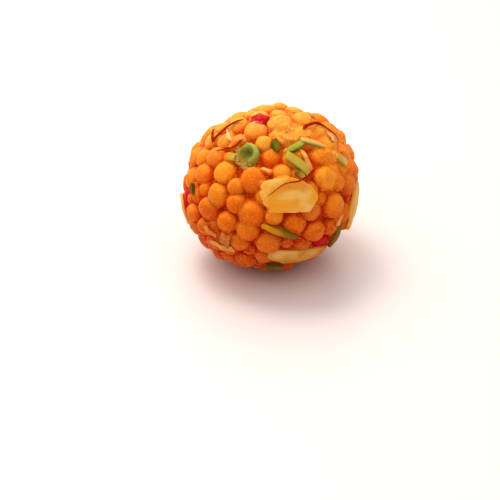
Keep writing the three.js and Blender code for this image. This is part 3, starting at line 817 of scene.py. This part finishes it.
class Knob:
    """The output of a node, with the operators that add a Math node to it."""

    def __init__(self, finish, socket):
        self.finish = finish
        self.socket = socket

    def maths(self, operation, a, b):
        """A Math node on two values or knobs."""
        return self.finish.node("ShaderNodeMath", dict(operation=operation), {0: a, 1: b})

    def __radd__(self, other):
        return self.maths("ADD", other, self)

    def __mul__(self, other):
        return self.maths("MULTIPLY", self, other)

    def __rmul__(self, other):
        return self.maths("MULTIPLY", other, self)


class Finish:
    """A material whose pattern is written as expressions on knobs."""

    def __init__(self, name):
        self.material = bpy.data.materials.new(name)
        self.material.use_nodes = True
        self.nodes = self.material.node_tree.nodes
        self.links = self.material.node_tree.links
        self.nodes.clear()
        place = self.node("ShaderNodeTexCoord", output="Object")
        scaled = {0: place, "Scale": 1 / MM}
        self.place = self.node("ShaderNodeVectorMath", dict(operation="SCALE"), scaled)  # millimetres

    def node(self, kind, settings=None, sockets=None, output=0):
        """Any node: its settings are set first, then its sockets to values or links."""
        made = self.nodes.new(kind)
        for name, value in (settings or {}).items():
            setattr(made, name, value)
        for name, value in (sockets or {}).items():
            if isinstance(value, Knob):
                self.links.new(value.socket, made.inputs[name])
            else:
                made.inputs[name].default_value = value
        return Knob(self, made.outputs[output])

    def grain(self, wavelength, detail=2.0, stretch=None):
        """Noise from 0 to 1 with lumps of about that many millimetres, stretched along the axes."""
        place = self.place
        if stretch:
            place = self.node("ShaderNodeVectorMath", dict(operation="MULTIPLY"), {0: place, 1: stretch})
        return self.node(
            "ShaderNodeTexNoise", None, {"Vector": place, "Scale": 1 / wavelength, "Detail": detail}
        )

    def between(self, low, high, value):
        """value run from 0 at low to 1 at high, eased."""
        return self.node(
            "ShaderNodeMapRange",
            dict(interpolation_type="SMOOTHSTEP"),
            {"Value": value, "From Min": low, "From Max": high},
        )

    def tint(self):
        """The colour that each point of the piece carries."""
        return self.node("ShaderNodeAttribute", dict(attribute_name="tint"), output="Color")

    def mixed(self, factor, a, b, blend="MIX"):
        """Colour a turned towards colour b by the factor."""
        a, b = ((*c, 1) if isinstance(c, tuple) else c for c in (a, b))
        settings = dict(data_type="RGBA", blend_type=blend)
        return self.node("ShaderNodeMix", settings, {0: factor, 6: a, 7: b}, output=2)

    def bumped(self, *heights):
        """A normal from (height, strength, depth in millimetres) triples, one on top of the other."""
        normal = None
        for height, strength, depth in heights:
            sockets = {"Height": height, "Strength": strength, "Distance": depth * MM}
            if normal:
                sockets["Normal"] = normal
            normal = self.node("ShaderNodeBump", None, sockets)
        return normal

    def finished(self, **sockets):
        """The material, once the shader has its values: a name's underlines stand for spaces."""
        named = {name.replace("_", " "): value for name, value in sockets.items()}
        shader = self.node("ShaderNodeBsdfPrincipled", dict(subsurface_method="RANDOM_WALK"), named)
        out = self.nodes.new("ShaderNodeOutputMaterial")
        self.links.new(shader.socket, out.inputs["Surface"])
        return self.material


def boondi_finish():
    """Fried and syruped: mottled orange, a soft wet gloss, and a fine pimpled skin, paler on the pimples'
    tops, partly sugar and partly a painted glint, and darker in their pits, a painted shade.
    """
    f = Finish("boondi")
    mottle = f.between(0.35, 0.68, f.grain(1.1, 3))
    pimple = f.grain(0.48, 3)
    # the pimple noise is also the bump's height: paler on its tops, partly sugar and partly a painted glint
    sugar = f.between(0.50, 0.66, pimple)
    colour = f.mixed(mottle * 0.50, f.tint(), (1.0, 0.78, 0.50), "MULTIPLY")
    colour = f.mixed(sugar * 0.50, colour, f.mixed(0.6, colour, SUGAR_AND_GLINT_ORANGE))
    # painted shade: darker down in the pimples' pits
    colour = f.mixed(f.between(0.48, 0.32, pimple) * 0.40, colour, (0.85, 0.58, 0.28), "MULTIPLY")
    return f.finished(
        Base_Color=colour,
        Roughness=0.22 + 0.34 * f.grain(0.6, 2),
        Normal=f.bumped((f.grain(0.9, 2), 0.6, 0.18), (pimple, 0.8, 0.10)),
        Subsurface_Weight=0.6,
        Subsurface_Radius=(1.0, 0.30, 0.04),
        Subsurface_Scale=1.4 * MM,
        Specular_IOR_Level=0.05,
        Sheen_Weight=0.05,
        Sheen_Roughness=0.30,
        Sheen_Tint=(1.0, 0.55, 0.30, 1),
    )


def red_finish():
    """Pearls dyed red, with sugar whitening their highest grains."""
    f = Finish("red_boondi")
    sugar = f.between(0.56, 0.70, f.grain(0.45, 3)) * f.between(0.11, 0.17, f.tint())
    colour = f.mixed(sugar * 0.6, f.tint(), SYRUP_PINK)
    return f.finished(
        Base_Color=colour,
        Roughness=0.34 + 0.2 * sugar,
        Normal=f.bumped((f.grain(0.9, 2), 0.6, 0.2), (f.grain(0.3, 2), 0.6, 0.07)),
        Subsurface_Weight=0.25,
        Subsurface_Radius=(1.0, 0.12, 0.08),
        Subsurface_Scale=0.9 * MM,
        Specular_IOR_Level=0.06,
    )


def pistachio_finish():
    """Cut pistachio: waxy green with fine streaks and a soft gloss."""
    f = Finish("pistachio")
    streak = f.between(0.3, 0.7, f.grain(0.6, 3))
    colour = f.mixed(streak * 0.45, f.tint(), (1.0, 0.90, 0.62), "MULTIPLY")
    return f.finished(
        Base_Color=colour,
        Roughness=0.42 + 0.16 * streak,
        Normal=f.bumped((f.grain(0.7, 3), 0.5, 0.14), (f.grain(0.2, 2), 0.4, 0.04)),
        Subsurface_Weight=0.25,
        Subsurface_Radius=(0.5, 0.45, 0.1),
        Subsurface_Scale=0.8 * MM,
        Specular_IOR_Level=0.05,
    )


def almond_finish():
    """Sliced almond under syrup: creamy, translucent, with faint lengthwise grain."""
    f = Finish("almond")
    grain = f.grain(0.7, 3, (0.22, 1.0, 1.6))
    cloud = f.between(0.35, 0.7, f.grain(3.0, 2))
    colour = f.mixed(cloud * 0.35, f.tint(), ALMOND_GOLD)
    colour = f.mixed(f.between(0.45, 0.65, grain) * 0.40, colour, (1.0, 0.82, 0.52), "MULTIPLY")
    return f.finished(
        Base_Color=colour,
        Roughness=0.34 + 0.2 * grain,
        Normal=f.bumped((grain, 0.35, 0.12), (f.grain(0.25, 2), 0.25, 0.03)),
        Subsurface_Weight=0.4,
        Subsurface_Radius=(1.0, 0.6, 0.25),
        Subsurface_Scale=1.2 * MM,
        Specular_IOR_Level=0.15,
    )


def saffron_finish():
    """Saffron: dark crimson, redder in patches."""
    f = Finish("saffron")
    along = f.grain(0.8, 2)
    colour = f.mixed(along, SAFFRON_DARK, SAFFRON_BRIGHT)
    return f.finished(
        Base_Color=colour,
        Roughness=0.45 + 0.15 * along,
        Normal=f.bumped((f.grain(0.25, 2), 0.5, 0.05)),
        Specular_IOR_Level=0.0,
    )


# ---- Pieces -----------------------------------------------------------------------------------

BOONDI = boondi_finish()
RED = red_finish()
PISTACHIO = pistachio_finish()
ALMOND = almond_finish()
SAFFRON = saffron_finish()


def make_pearls(name, which, n):
    """One mesh of the pearls with those numbers."""
    points, faces, tints = pearl_shapes(which, n)
    return make_piece(name, [part_of(points, faces, crush_and_crevice_shade(tints, points))], BOONDI)


def make_paste():
    """The paste's skin: a ball grid carried out to the paste's distance in each direction."""
    grid, quads = ball_grid(PASTE_GRID)
    top, tints = paste_top(grid)
    points = above_the_plate(grid * top[:, None])
    return make_piece("crushed_boondi", [part_of(points, quads, crush_and_crevice_shade(tints, points))], BOONDI)


def lump_shapes(centres, radii, n, seeds):
    """Small lumps: balls with strong slow noise, a little flattened along a direction of their own."""
    grid, quads = ball_grid(n)
    reach = radii[:, None] * (1 + 0.30 * layered(1.4 * grid[None] + 5.3 * seeds[:, None, None], 2))
    ball = reach[..., None] * grid[None]
    squash = random_lean(seeds, 51)
    thinner = 0.35 * (ball @ squash[:, :, None]) * squash[:, None]
    return centres[:, None] + ball - thinner, copies(quads, len(grid), len(radii))


CRUMBS = 900  # tried, as are the grains; those that lie in no gap or smear are left out
GRAINS = 1100
CRUMB_RADII = (0.40, 0.85)
GRAIN_RADII = (0.25, 1.05)
CRUMB_LEAST_DEPTH = 1.0


def make_crumbs():
    """Broken bits in the gaps between pearls, and fine grains where the pearls are crushed."""
    i = np.arange(1, CRUMBS + GRAINS + 1)
    d = random_way(i, 41)
    top, tints = paste_top(d)
    bit = (i <= CRUMBS) & (envelope(d) - top > CRUMB_LEAST_DEPTH)
    fine = (i > CRUMBS) & (draw(i, 43) < 0.04 + 0.9 * smeared(d))
    radii = np.where(bit, lerp(*CRUMB_RADII, draw(i, 44)), lerp(*GRAIN_RADII, draw(i, 44) ** 3))
    kept = np.flatnonzero(bit | fine)
    centres = d[kept] * (top[kept] - lerp(0.15, 0.6, radii[kept]) * radii[kept])[:, None]
    points, faces = lump_shapes(centres, radii[kept], 3, i[kept])
    points = above_the_plate(points)
    tints = crush_and_crevice_shade(tints[kept][:, None], points)
    return make_piece("boondi_crumbs", [part_of(points, faces, tints)], BOONDI)


def crumbled_bit(spot, i):
    """One bit of the crumbled red pearl: a rough ball cut by nine flat breaks. They lie in a ring round
    the first."""
    bits, reach, size = RED_CRUMBLE["bits"], RED_CRUMBLE["reach"], RED_CRUMBLE["size"]
    grid, quads = ball_grid(12)
    turn = 2 * math.pi * i / bits
    off = reach * lerp(0.6, 1, draw(i, 21)) if i else 0
    radius = size * lerp(0.8, 1.2, draw(i, 22))
    ball = np.full(len(grid), radius)
    k = np.arange(9) + 20 * i
    for facing, share in zip((grid @ random_lean(k, 61).T).T, lerp(0.72, 0.95, draw(k, 64))):
        ball = trimmed(ball, facing, radius * share, 0.2)
    ball = ball + 0.24 * layered(grid * 3.0 + 4 * i, 3)
    local = ball[:, None] * grid + (off * math.cos(turn), off * 0.6 * math.sin(turn), 0)
    return part_of(spot.outward(local), quads, lerp(SYRUP_RED, SYRUP_PINK, 0.6 * draw(i, 65)))


def make_red():
    """The red pearls, and the crumbled one: a huddle of bits."""
    points, faces, _ = pearl_shapes(np.flatnonzero(REDS), PEARL_GRID)
    whole = part_of(points, faces, SYRUP_RED)
    spot = Spot(RED_CRUMBLE["at"], 0, -RED_CRUMBLE["size"] / 2)
    crumbled = [crumbled_bit(spot, i) for i in range(RED_CRUMBLE["bits"])]
    return make_piece("red_boondi", [whole, *crumbled], RED)


# Where a sliver's sections stand, from -1 to 1: close together at the ends, where its edges are rounded.
BAR_ENDS = np.array([0.95, 0.98, 0.995, 1])
BAR_STATIONS = np.concatenate([-BAR_ENDS[::-1], np.linspace(-0.85, 0.85, 11), BAR_ENDS])
BAR_AROUND = 20
BAR_ROUND = 0.32  # radius of a cut end's edge
BAR_SQUARE = 6.0  # from 2, a round section, towards a square one
BAR_ROUGH = 0.07


def bar_shape(size, widths, seed):
    """A cut sliver along x: rounded square sections, as wide at either end as widths says and full in
    between, cut off aslant with a rounded edge, bent to the ball and a little uneven."""
    length, width, thick = size
    s = BAR_STATIONS[:, None]
    taper = np.where(s < 0, lerp(1, widths[0], s**2), lerp(1, widths[1], s**2))
    into = np.clip((np.abs(s) * length / 2 - (length / 2 - BAR_ROUND)) / BAR_ROUND, 0, 1)
    eaten = BAR_ROUND * (1 - np.sqrt(1 - into**2))
    t = turns(BAR_AROUND)
    rounded = (np.abs(np.cos(t)) ** BAR_SQUARE + np.abs(np.sin(t)) ** BAR_SQUARE) ** (-1 / BAR_SQUARE)
    y = np.maximum(width / 2 * taper - eaten, 0.1) * rounded * -np.sin(t)
    up = np.maximum(thick / 2 * lerp(1, taper, 0.6) - eaten, 0.1) * rounded * np.cos(t)
    slant = 0.45 * math.sin(3 * seed + 1)
    x = s * length / 2 + slant * np.abs(s) ** 3 * y
    bow = 0.06 * width * math.cos(5 * seed) * (1 - s**2) * 2
    local = np.stack([x, y + bow, up - x**2 / (2 * HALF_DEPTH)], -1)
    uneven = BAR_ROUGH * layered(local / 1.1 + 9.1 * seed, 2)
    ring = np.stack([0 * t, -np.sin(t), np.cos(t)], -1)
    return local + uneven[..., None] * ring[None]


SLIVER_SKIN_AND_SIDE_SHADE = (0.50, 0.70, 0.24)  # the sides of a sliver are a darker green than its cut face: its skin, and painted shade


def make_slivers():
    """The slivers, each turning from one end's colour to the other's, and darker and greener down its two
    sides: its skin, and painted shade.
    """
    parts = []
    for i, (at, heading, size, start, end, widths) in enumerate(ALL_SLIVERS):
        shape = bar_shape(size, widths, i)
        spot = Spot(at, heading, SLIVER_PROUD - size[2] / 2)
        mix = eased(0.1, 0.9, (BAR_STATIONS[:, None] + 1) / 2 + 0.12 * layered(shape / 1.3 + i, 2))
        tint = lerp(start, end, mix[..., None])
        # darker and greener down both sides: the skin's green, and painted shade
        side = eased(0.75, 1.0, np.abs(shape[..., 1]) / (size[1] / 2))[..., None]
        parts.append(skin_on(spot, shape, lerp(tint, tint * SLIVER_SKIN_AND_SIDE_SHADE, side)))
    return make_piece("pistachio_slivers", parts, PISTACHIO, crease=42)


CHIP_THICK = 0.28
CHIP_BEND = 14
CHIP_TILT = 14  # degrees
CHIP_SKEW = 16  # degrees that a broken side may turn
CHIP_SIDES = [0, 88, 137, 180, 272]  # the directions that the broken sides face
CHIP_TORN = 1.1  # how uneven its edge is, next to a flake's


def make_almond_bits():
    """Chips: thin shards of flake with straight broken sides, wavy and tilted a little in their beds, and
    paler in patches and along their edges."""
    parts = []
    for i, (at, heading, (length, width, _), colour) in enumerate(ALMOND_BITS):
        facing = CHIP_SIDES + CHIP_SKEW * (2 * draw(np.arange(5) + 10 * i, 72) - 1)
        distance = np.array([length, width, 0.75 * math.hypot(length, width), length, width]) / 2
        shard = dict(size=(1.5 * length, 2.2 * width), bend=CHIP_BEND, breaks=list(zip(facing, distance)))
        shape, share = flake_shape(shard, 40 + i, CHIP_THICK, around=56, chipped=CHIP_TORN)
        tilt = math.radians(CHIP_TILT * (2 * draw(i, 74) - 1))
        x, y, z = np.moveaxis(shape, -1, 0)
        z = z + 0.16 * np.sin(1.9 * x + i) + 0.10 * np.cos(2.6 * y + 2 * i)
        y, z = y * math.cos(tilt) - z * math.sin(tilt), z * math.cos(tilt) + y * math.sin(tilt)
        spot = Spot(at, heading, SLIVER_PROUD + 0.05)
        pale = 0.5 * eased(0.75, 1.0, share)[:, None] + 0.45 * layered(shape / 1.2 + i, 2)
        tint = lerp(colour, CHIP_EDGE, np.clip(pale, 0, 1)[..., None])
        parts.append(skin_on(spot, np.stack([x, y, z], -1), tint))
    return make_piece("almond_bits", parts, ALMOND, crease=50)


CUP_WHOLE = 60  # where its whole side is, in degrees from east: the side across from it is crushed
CUP_STATIONS = 44
CUP_AROUND = 64
CUP_CRUMBS = 70
CUP_CRUMB_TURNS = (150, 330)  # the crumbs lie along its lower left, in degrees from east
CUP_CRUMB_RADII = (0.22, 0.55)


def cup_rings():
    """The cup's sections from its foot to the middle of its hollow, each as share of its half width and
    height, on a smooth path carried round: points across the cup, and the turn of each."""
    half, height, hollow = CUP["across"] / 2, CUP["height"], CUP["hollow"]
    profile = [
        (0.15, -height), (0.55, -height * 0.88), (0.84, -height * 0.6), (0.98, -height * 0.36),
        (1.0, -height * 0.16), (0.93, -height * 0.01), (0.80, height * 0.07), (0.64, height * 0.05),
        (0.46, -hollow * 0.06), (0.28, -hollow * 0.42), (0.10, -hollow * 0.62),
    ]
    path = smooth_path([(half * share, z, 0) for share, z in profile], CUP_STATIONS)
    t = turns(CUP_AROUND)
    return path[:, :1] * np.cos(t), path[:, :1] * np.sin(t), path[:, 1:2] + 0 * t, t


def cup_part(spot):
    """The cup: its rings with an uneven reach, its hollow off the middle, its lower left pressed down and
    crushed to lumps. It is light towards the upper right, soaked where crushed, and has a dark pit painted
    in its hollow as shade."""
    half, height, hollow = CUP["across"] / 2, CUP["height"], CUP["hollow"]
    x, y, z, t = cup_rings()
    lobes = 1 + 0.13 * layered(circle(t) * 1.3 + 3, 3)
    low_left = 0.5 - 0.5 * np.cos(t - math.radians(CUP_WHOLE))
    share = np.hypot(x, y) / half
    inner = eased(0.85, 0.2, share) * (z > -hollow)
    x, y = x * lobes + 0.55 * inner, y * lobes + 0.45 * inner
    z = z - 0.70 * low_left * eased(-height, 0, z) + 0.15 * (1 - low_left) * eased(-1, 0, z)
    shape = np.stack([x, y, z], -1)
    lump = 0.10 * layered(shape / 1.3, 3) + 0.30 * (0.25 + low_left) * layered(shape / 0.75 + 5, 2)
    shape = shape + (lump * (1 - 0.6 * inner))[..., None] * circle(t, 1)

    light = eased(-0.7, 0.9, (x + 1.3 * y) / (1.6 * half) + 0.25 * layered(shape / 1.1, 2))
    soaked = 0.75 * eased(0.45, 1.0, low_left) * eased(0.5, 0.95, share)
    # painted shade: a dark pit in the middle of the hollow
    pit = 0.9 * eased(0.62, 0.12, share) * (z > -1.6)
    tint = lerp(CUP_DARK, CUP_LIGHT, light[..., None])
    tint = lerp(tint, SOAKED_PISTACHIO, soaked[..., None])
    return skin_on(spot, shape, lerp(tint, CUP_PIT_SHADE, pit[..., None]))


def make_cup():
    """The halved pistachio, with crumbs of it along its crushed side."""
    spot = Spot(CUP["at"], 0, CUP["proud"])
    i = np.arange(1, CUP_CRUMBS + 1)
    turn = np.radians(lerp(*CUP_CRUMB_TURNS, draw(i, 81)))
    share = lerp(0.78, 1.22, draw(i, 82))
    reach = share * CUP["across"] / 2
    centres = np.stack([reach * np.cos(turn), reach * np.sin(turn), -0.15 - 0.9 * share**3], -1)
    bits, quads = lump_shapes(centres, lerp(*CUP_CRUMB_RADII, draw(i, 83) ** 2), 3, i)
    pale = lerp(SOAKED_PISTACHIO, FROSTED_GREEN, draw(i, 84)[:, None])
    crumbs = part_of(spot.outward(bits), quads, pale[:, None])
    return make_piece("pistachio_cup", [cup_part(spot), crumbs], PISTACHIO)


def windows(values, reach):
    """Each value with its neighbours up to reach away, as rows."""
    padded = np.pad(values, reach, mode="edge")
    return np.lib.stride_tricks.sliding_window_view(padded, 2 * reach + 1)


STRAND_FEEL = 0.9  # how far to either side a strand feels for what it rests on
STRAND_STATIONS = 48
STRAND_STIFF = 5  # the stations to either side over which it bridges dips
STRAND_AROUND = 10


def strand_part(way, tops, start, end, seed):
    """A strand: a flattened round section carried along the way, which rests on what stands highest near
    it, wider at one end and drawn out at the other."""
    d = unit(smooth_path(towards(*np.array(way, float).T), STRAND_STATIONS))
    across = unit(np.cross(np.gradient(d, axis=0), d)) * STRAND_FEEL / HALF_DEPTH
    top = np.max([tops(unit(d + k * across)) for k in (-1, 0, 1)], axis=0)
    weights = np.hanning(2 * STRAND_STIFF + 3)[1:-1]
    rest = windows(windows(top, STRAND_STIFF).max(1), STRAND_STIFF) @ (weights / weights.sum())
    s = np.linspace(0, 1, STRAND_STATIONS)
    half = lerp(start, end, s**1.4) * (1 - 0.8 * np.abs(2 * s - 1) ** 14)
    wander = 0.16 * np.stack([np.sin(9 * s + seed), np.cos(7 * s + 2 * seed)], -1)
    path = d * (rest + 0.5 * half)[:, None]
    along = unit(np.gradient(path, axis=0))
    side = unit(np.cross(along, d))
    up = np.cross(side, along)
    path = path + side * wander[:, :1] + up * 0.3 * np.abs(wander[:, 1:])
    t = turns(STRAND_AROUND)
    rings = (
        path[:, None]
        + (half[:, None] * np.cos(t))[..., None] * side[:, None]
        + (0.6 * half[:, None] * np.sin(t))[..., None] * up[:, None]
    )
    return closed_rings(rings[:, ::-1])


def make_strands():
    """The strands on the heap and the one on the front flake, which rests on the flake's outer face."""
    flake = FLAKES["almond_flake_front"]
    spot = Spot(flake["at"], flake["heading"], flake["lift"])

    def over_flake(d):
        """Distance to just over the flake's outer face along each d."""
        x, y, z = np.moveaxis(spot.inward(d * envelope(d)[:, None]), -1, 0)
        return envelope(d) - z - (x * x + y * y) / (2 * flake["bend"]) + 0.05

    parts = [strand_part(way, strand_bed, *ends, i) for i, (way, *ends) in enumerate(STRANDS)]
    parts.append(strand_part(FLAKE_STRAND, over_flake, 0.09, 0.34, 20))
    return make_piece("saffron_strands", [(*part, (0, 0, 0)) for part in parts], SAFFRON)


FLAKE_SHARES = [0.03, 0.25, 0.5, 0.72, 0.88, 0.955]  # of the way out, over the underside
FLAKE_RIM = [-60, -25, 10, 45, 75]  # degrees round its edge
FLAKE_BACK = [0.98, 0.93, 0.86, 0.77, 0.67, 0.56, 0.45, 0.34, 0.23, 0.12, 0.03]


def flake_shape(flake, seed, thick=FLAKE_THICK, around=96, chipped=1.0, floor=0.0):
    """A flake: from the middle of the underside out to a rounded edge and back over the outer face. Each
    face waves, bends to the ball, and has a faint lengthwise grain; the edge is slightly chipped. The
    outer face lies floor under the flake's own level. Also how far out each ring is, as a share."""
    t = turns(around)
    uneven = 0.08 * layered(circle(t) * 4 + seed, 3)
    uneven = uneven - 0.30 * eased(0.45, 0.8, noise(circle(t) * 9 + 2 * seed))
    edge = flake_reach(flake, t) + chipped * uneven
    rim = np.radians(FLAKE_RIM)
    level = np.concatenate([-np.ones(len(FLAKE_SHARES)), np.sin(rim), np.ones(len(FLAKE_BACK))])
    share = np.concatenate([FLAKE_SHARES, 0.975 + 0.025 * np.cos(rim), FLAKE_BACK])
    reach = share[:, None] * edge
    x, y = reach * np.cos(t), reach * np.sin(t)
    grain = 0.05 * layered(np.stack([x * 0.22, y * 1.3, 0 * x + seed], -1), 3)
    wave = FLAKE_WAVE * np.sin(x * 0.9 + 1) * np.cos(y * 0.8) + grain
    middle = wave - (x * x + y * y) / (2 * flake["bend"]) - floor - thick / 2
    thinned = thick / 2 * (1 - 0.25 * share[:, None] ** 4)
    return np.stack([x, y, middle + thinned * level[:, None]], -1), share


def patched(tint, shape, patches):
    """A tint with soft oval patches of other colours: each is full within its middle and eases out."""
    for (x, y), (wide, high), colour, strength in patches:
        off = np.hypot((shape[..., 0] - x) / wide, (shape[..., 1] - y) / high)
        off = off + 0.35 * layered(shape * (0.35, 1.1, 1.0) + x, 3)
        tint = lerp(tint, colour, strength * eased(1.25, 0.35, off)[..., None])
    return tint


def flake_part(flake, seed, warm, shade=(1, 1, 1), patches=(), **shape_words):
    """One layer of a flake with its tint: golden where syrup has soaked in, and pale at the edge."""
    shape, share = flake_shape(flake, seed, **shape_words)
    spot = Spot(flake["at"], flake["heading"], flake["lift"])
    pale = 0.45 * eased(0.92, 1.0, share)[:, None]
    cloud = 0.45 + 0.9 * layered(shape / 3.6 + seed, 3)
    cream = np.clip(cloud + pale - warm, 0, 1)[..., None]
    # shade multiplies the gold fully and the cream partly: the syrup's colour and painted shade
    tint = lerp(np.multiply(ALMOND_GOLD, shade), ALMOND_CREAM * lerp(1, shade, 0.6), cream)
    return skin_on(spot, shape, patched(tint, shape, patches))


# The front flake is two slices stuck together, each with its own breaks. The inner one is smaller, and
# shows as a strip at the left.
FRONT_OUTER = dict(breaks=[(98, 5.3), (74, 4.85), (57, 5.1), (31, 6.3), (-15, 7.45), (-37, 6.75),
                           (-92, 4.35), (-164, 6.8)])
FRONT_INNER = dict(size=(17.8, 9.4), breaks=[(141, 7.4), (98, 3.2), (45, 5.0), (-2, 6.3), (-45, 5.5),
                                             (-92, 3.9), (-120, 5.3), (-158, 7.5)])
FRONT_SPLIT = 0.5  # thickness of the outer slice
FRONT_OVERLAP = 0.08
FRONT_PATCHES = [
    ((2.0, 2.4), (5.0, 1.5), ALMOND_AMBER, 0.8),
    ((-5.2, -0.8), (2.2, 3.0), ALMOND_GOLD, 0.8),
    ((0.4, 0.1), (3.6, 1.5), ALMOND_CREAM, 0.8),
    ((-4.6, 4.2), (3.4, 1.2), ALMOND_CREAM, 0.9),
    ((-1.0, -3.0), (5.5, 1.2), ALMOND_GOLD, 0.7),
]
RIGHT_PATCHES = [
    ((0.0, -3.6), (6.0, 1.3), ALMOND_BROWN, 0.7),
    ((1.0, 1.2), (5.5, 1.0), ALMOND_CREAM, 0.7),
]
# What is left of each flake's red, green and blue: partly by the syrup it has drunk, and partly painted
# shade, most of all on the low flake.
SOAK_AND_PAINTED_SHADE = {
    "almond_flake_low": (0.55, 0.59, 0.54),
    "almond_flake_right": (0.76, 0.90, 0.54),
    "almond_flake_left": (0.90, 0.90, 0.90),
    "almond_flake_back": (1.0, 1.0, 1.0),
    "almond_flake_behind_left": (0.95, 0.95, 0.95),
}


def make_flake(name, flake, seed):
    """A flake in the place of its solid, tinted by the syrup it has drunk and by painted shade."""
    if name == "almond_flake_front":
        outer, inner = dict(flake, **FRONT_OUTER), dict(flake, **FRONT_INNER)
        under = dict(thick=FLAKE_THICK - FRONT_SPLIT, floor=FRONT_SPLIT - FRONT_OVERLAP)
        parts = [
            flake_part(outer, seed, 0.35, patches=FRONT_PATCHES, thick=FRONT_SPLIT),
            flake_part(inner, seed + 5, 0.2, **under),
        ]
    else:
        patches = RIGHT_PATCHES if name == "almond_flake_right" else ()
        parts = [flake_part(flake, seed, 0.45, SOAK_AND_PAINTED_SHADE[name], patches)]
    piece = make_piece(name.replace("flake", "slice"), parts, ALMOND, crease=50)
    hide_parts(name)
    return piece


pearls = make_pearls("boondi_pearls", np.flatnonzero(~REDS[:SHOWN]), PEARL_GRID)
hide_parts("boondi_ball")
make_pearls("small_boondi", np.arange(SHOWN, len(RADII)), FILLER_GRID)
make_paste()
make_crumbs()
make_red()
make_slivers()
make_almond_bits()
make_cup()
make_strands()
for seed, (name, flake) in enumerate(FLAKES.items()):
    make_flake(name, flake, seed)

# ---- Floor, light and camera ------------------------------------------------------------------

FLOOR_HALF = 1.5
WORLD_COLOUR = (1.0, 0.98, 0.96, 1)
WORLD_STRENGTH = 0.42
# The camera: the frame's width and the focal length in pixels, its place in millimetres, and how many
# degrees it looks down and is turned to the left.
FRAME_PIXELS = 500
FOCAL_PIXELS = 1585
CAMERA_AT = (0, -386.51, 240.48)
CAMERA_DOWN = 31.76
CAMERA_LEFT = 0.83


def make_floor():
    """A flat pale square."""
    mesh = bpy.data.meshes.new("floor")
    a = FLOOR_HALF
    mesh.from_pydata([(-a, -a, 0), (a, -a, 0), (a, a, 0), (-a, a, 0)], [], [(0, 1, 2, 3)])
    mesh.materials.append(Finish("plate_white").finished(Base_Color=(*PLATE_WHITE, 1), Roughness=0.45))
    floor = bpy.data.objects.new("floor", mesh)
    bpy.context.scene.collection.objects.link(floor)


def make_light(name, place, size, power, colour=(1, 1, 1)):
    """A square soft light, aimed at the ball."""
    data = bpy.data.lights.new(name, "AREA")
    data.shape = "RECTANGLE"
    data.size, data.size_y = size
    data.energy = power
    data.color = colour
    light = bpy.data.objects.new(name, data)
    light.location = place
    aim = Vector((0, 0, MIDDLE_Z * MM)) - Vector(place)
    light.rotation_euler = aim.to_track_quat("-Z", "Y").to_euler()
    bpy.context.scene.collection.objects.link(light)


def make_world():
    """A faint even light from all sides."""
    world = bpy.data.worlds.new("studio")
    world.use_nodes = True
    background = world.node_tree.nodes["Background"]
    background.inputs["Color"].default_value = WORLD_COLOUR
    background.inputs["Strength"].default_value = WORLD_STRENGTH
    bpy.context.scene.world = world


def make_camera():
    """The camera in front of the ball, which looks down at it."""
    data = bpy.data.cameras.new("camera")
    data.sensor_width = 36.0
    data.lens = FOCAL_PIXELS / FRAME_PIXELS * data.sensor_width
    camera = bpy.data.objects.new("camera", data)
    camera.location = Vector(CAMERA_AT) * MM
    camera.rotation_euler = (math.radians(90 - CAMERA_DOWN), 0, math.radians(CAMERA_LEFT))
    bpy.context.scene.collection.objects.link(camera)
    bpy.context.scene.camera = camera


make_floor()
make_light("panel", (-0.12, -0.06, 0.85), (2.2, 2.0), 12.2)
make_light("key", (-0.16, 0.12, 0.55), (0.22, 0.20), 1.15)
make_light("rim", (-0.20, 0.42, 0.56), (0.80, 0.60), 2.6, (1.0, 0.93, 0.80))
make_world()
make_camera()
bpy.context.scene.view_settings.view_transform = "Standard"
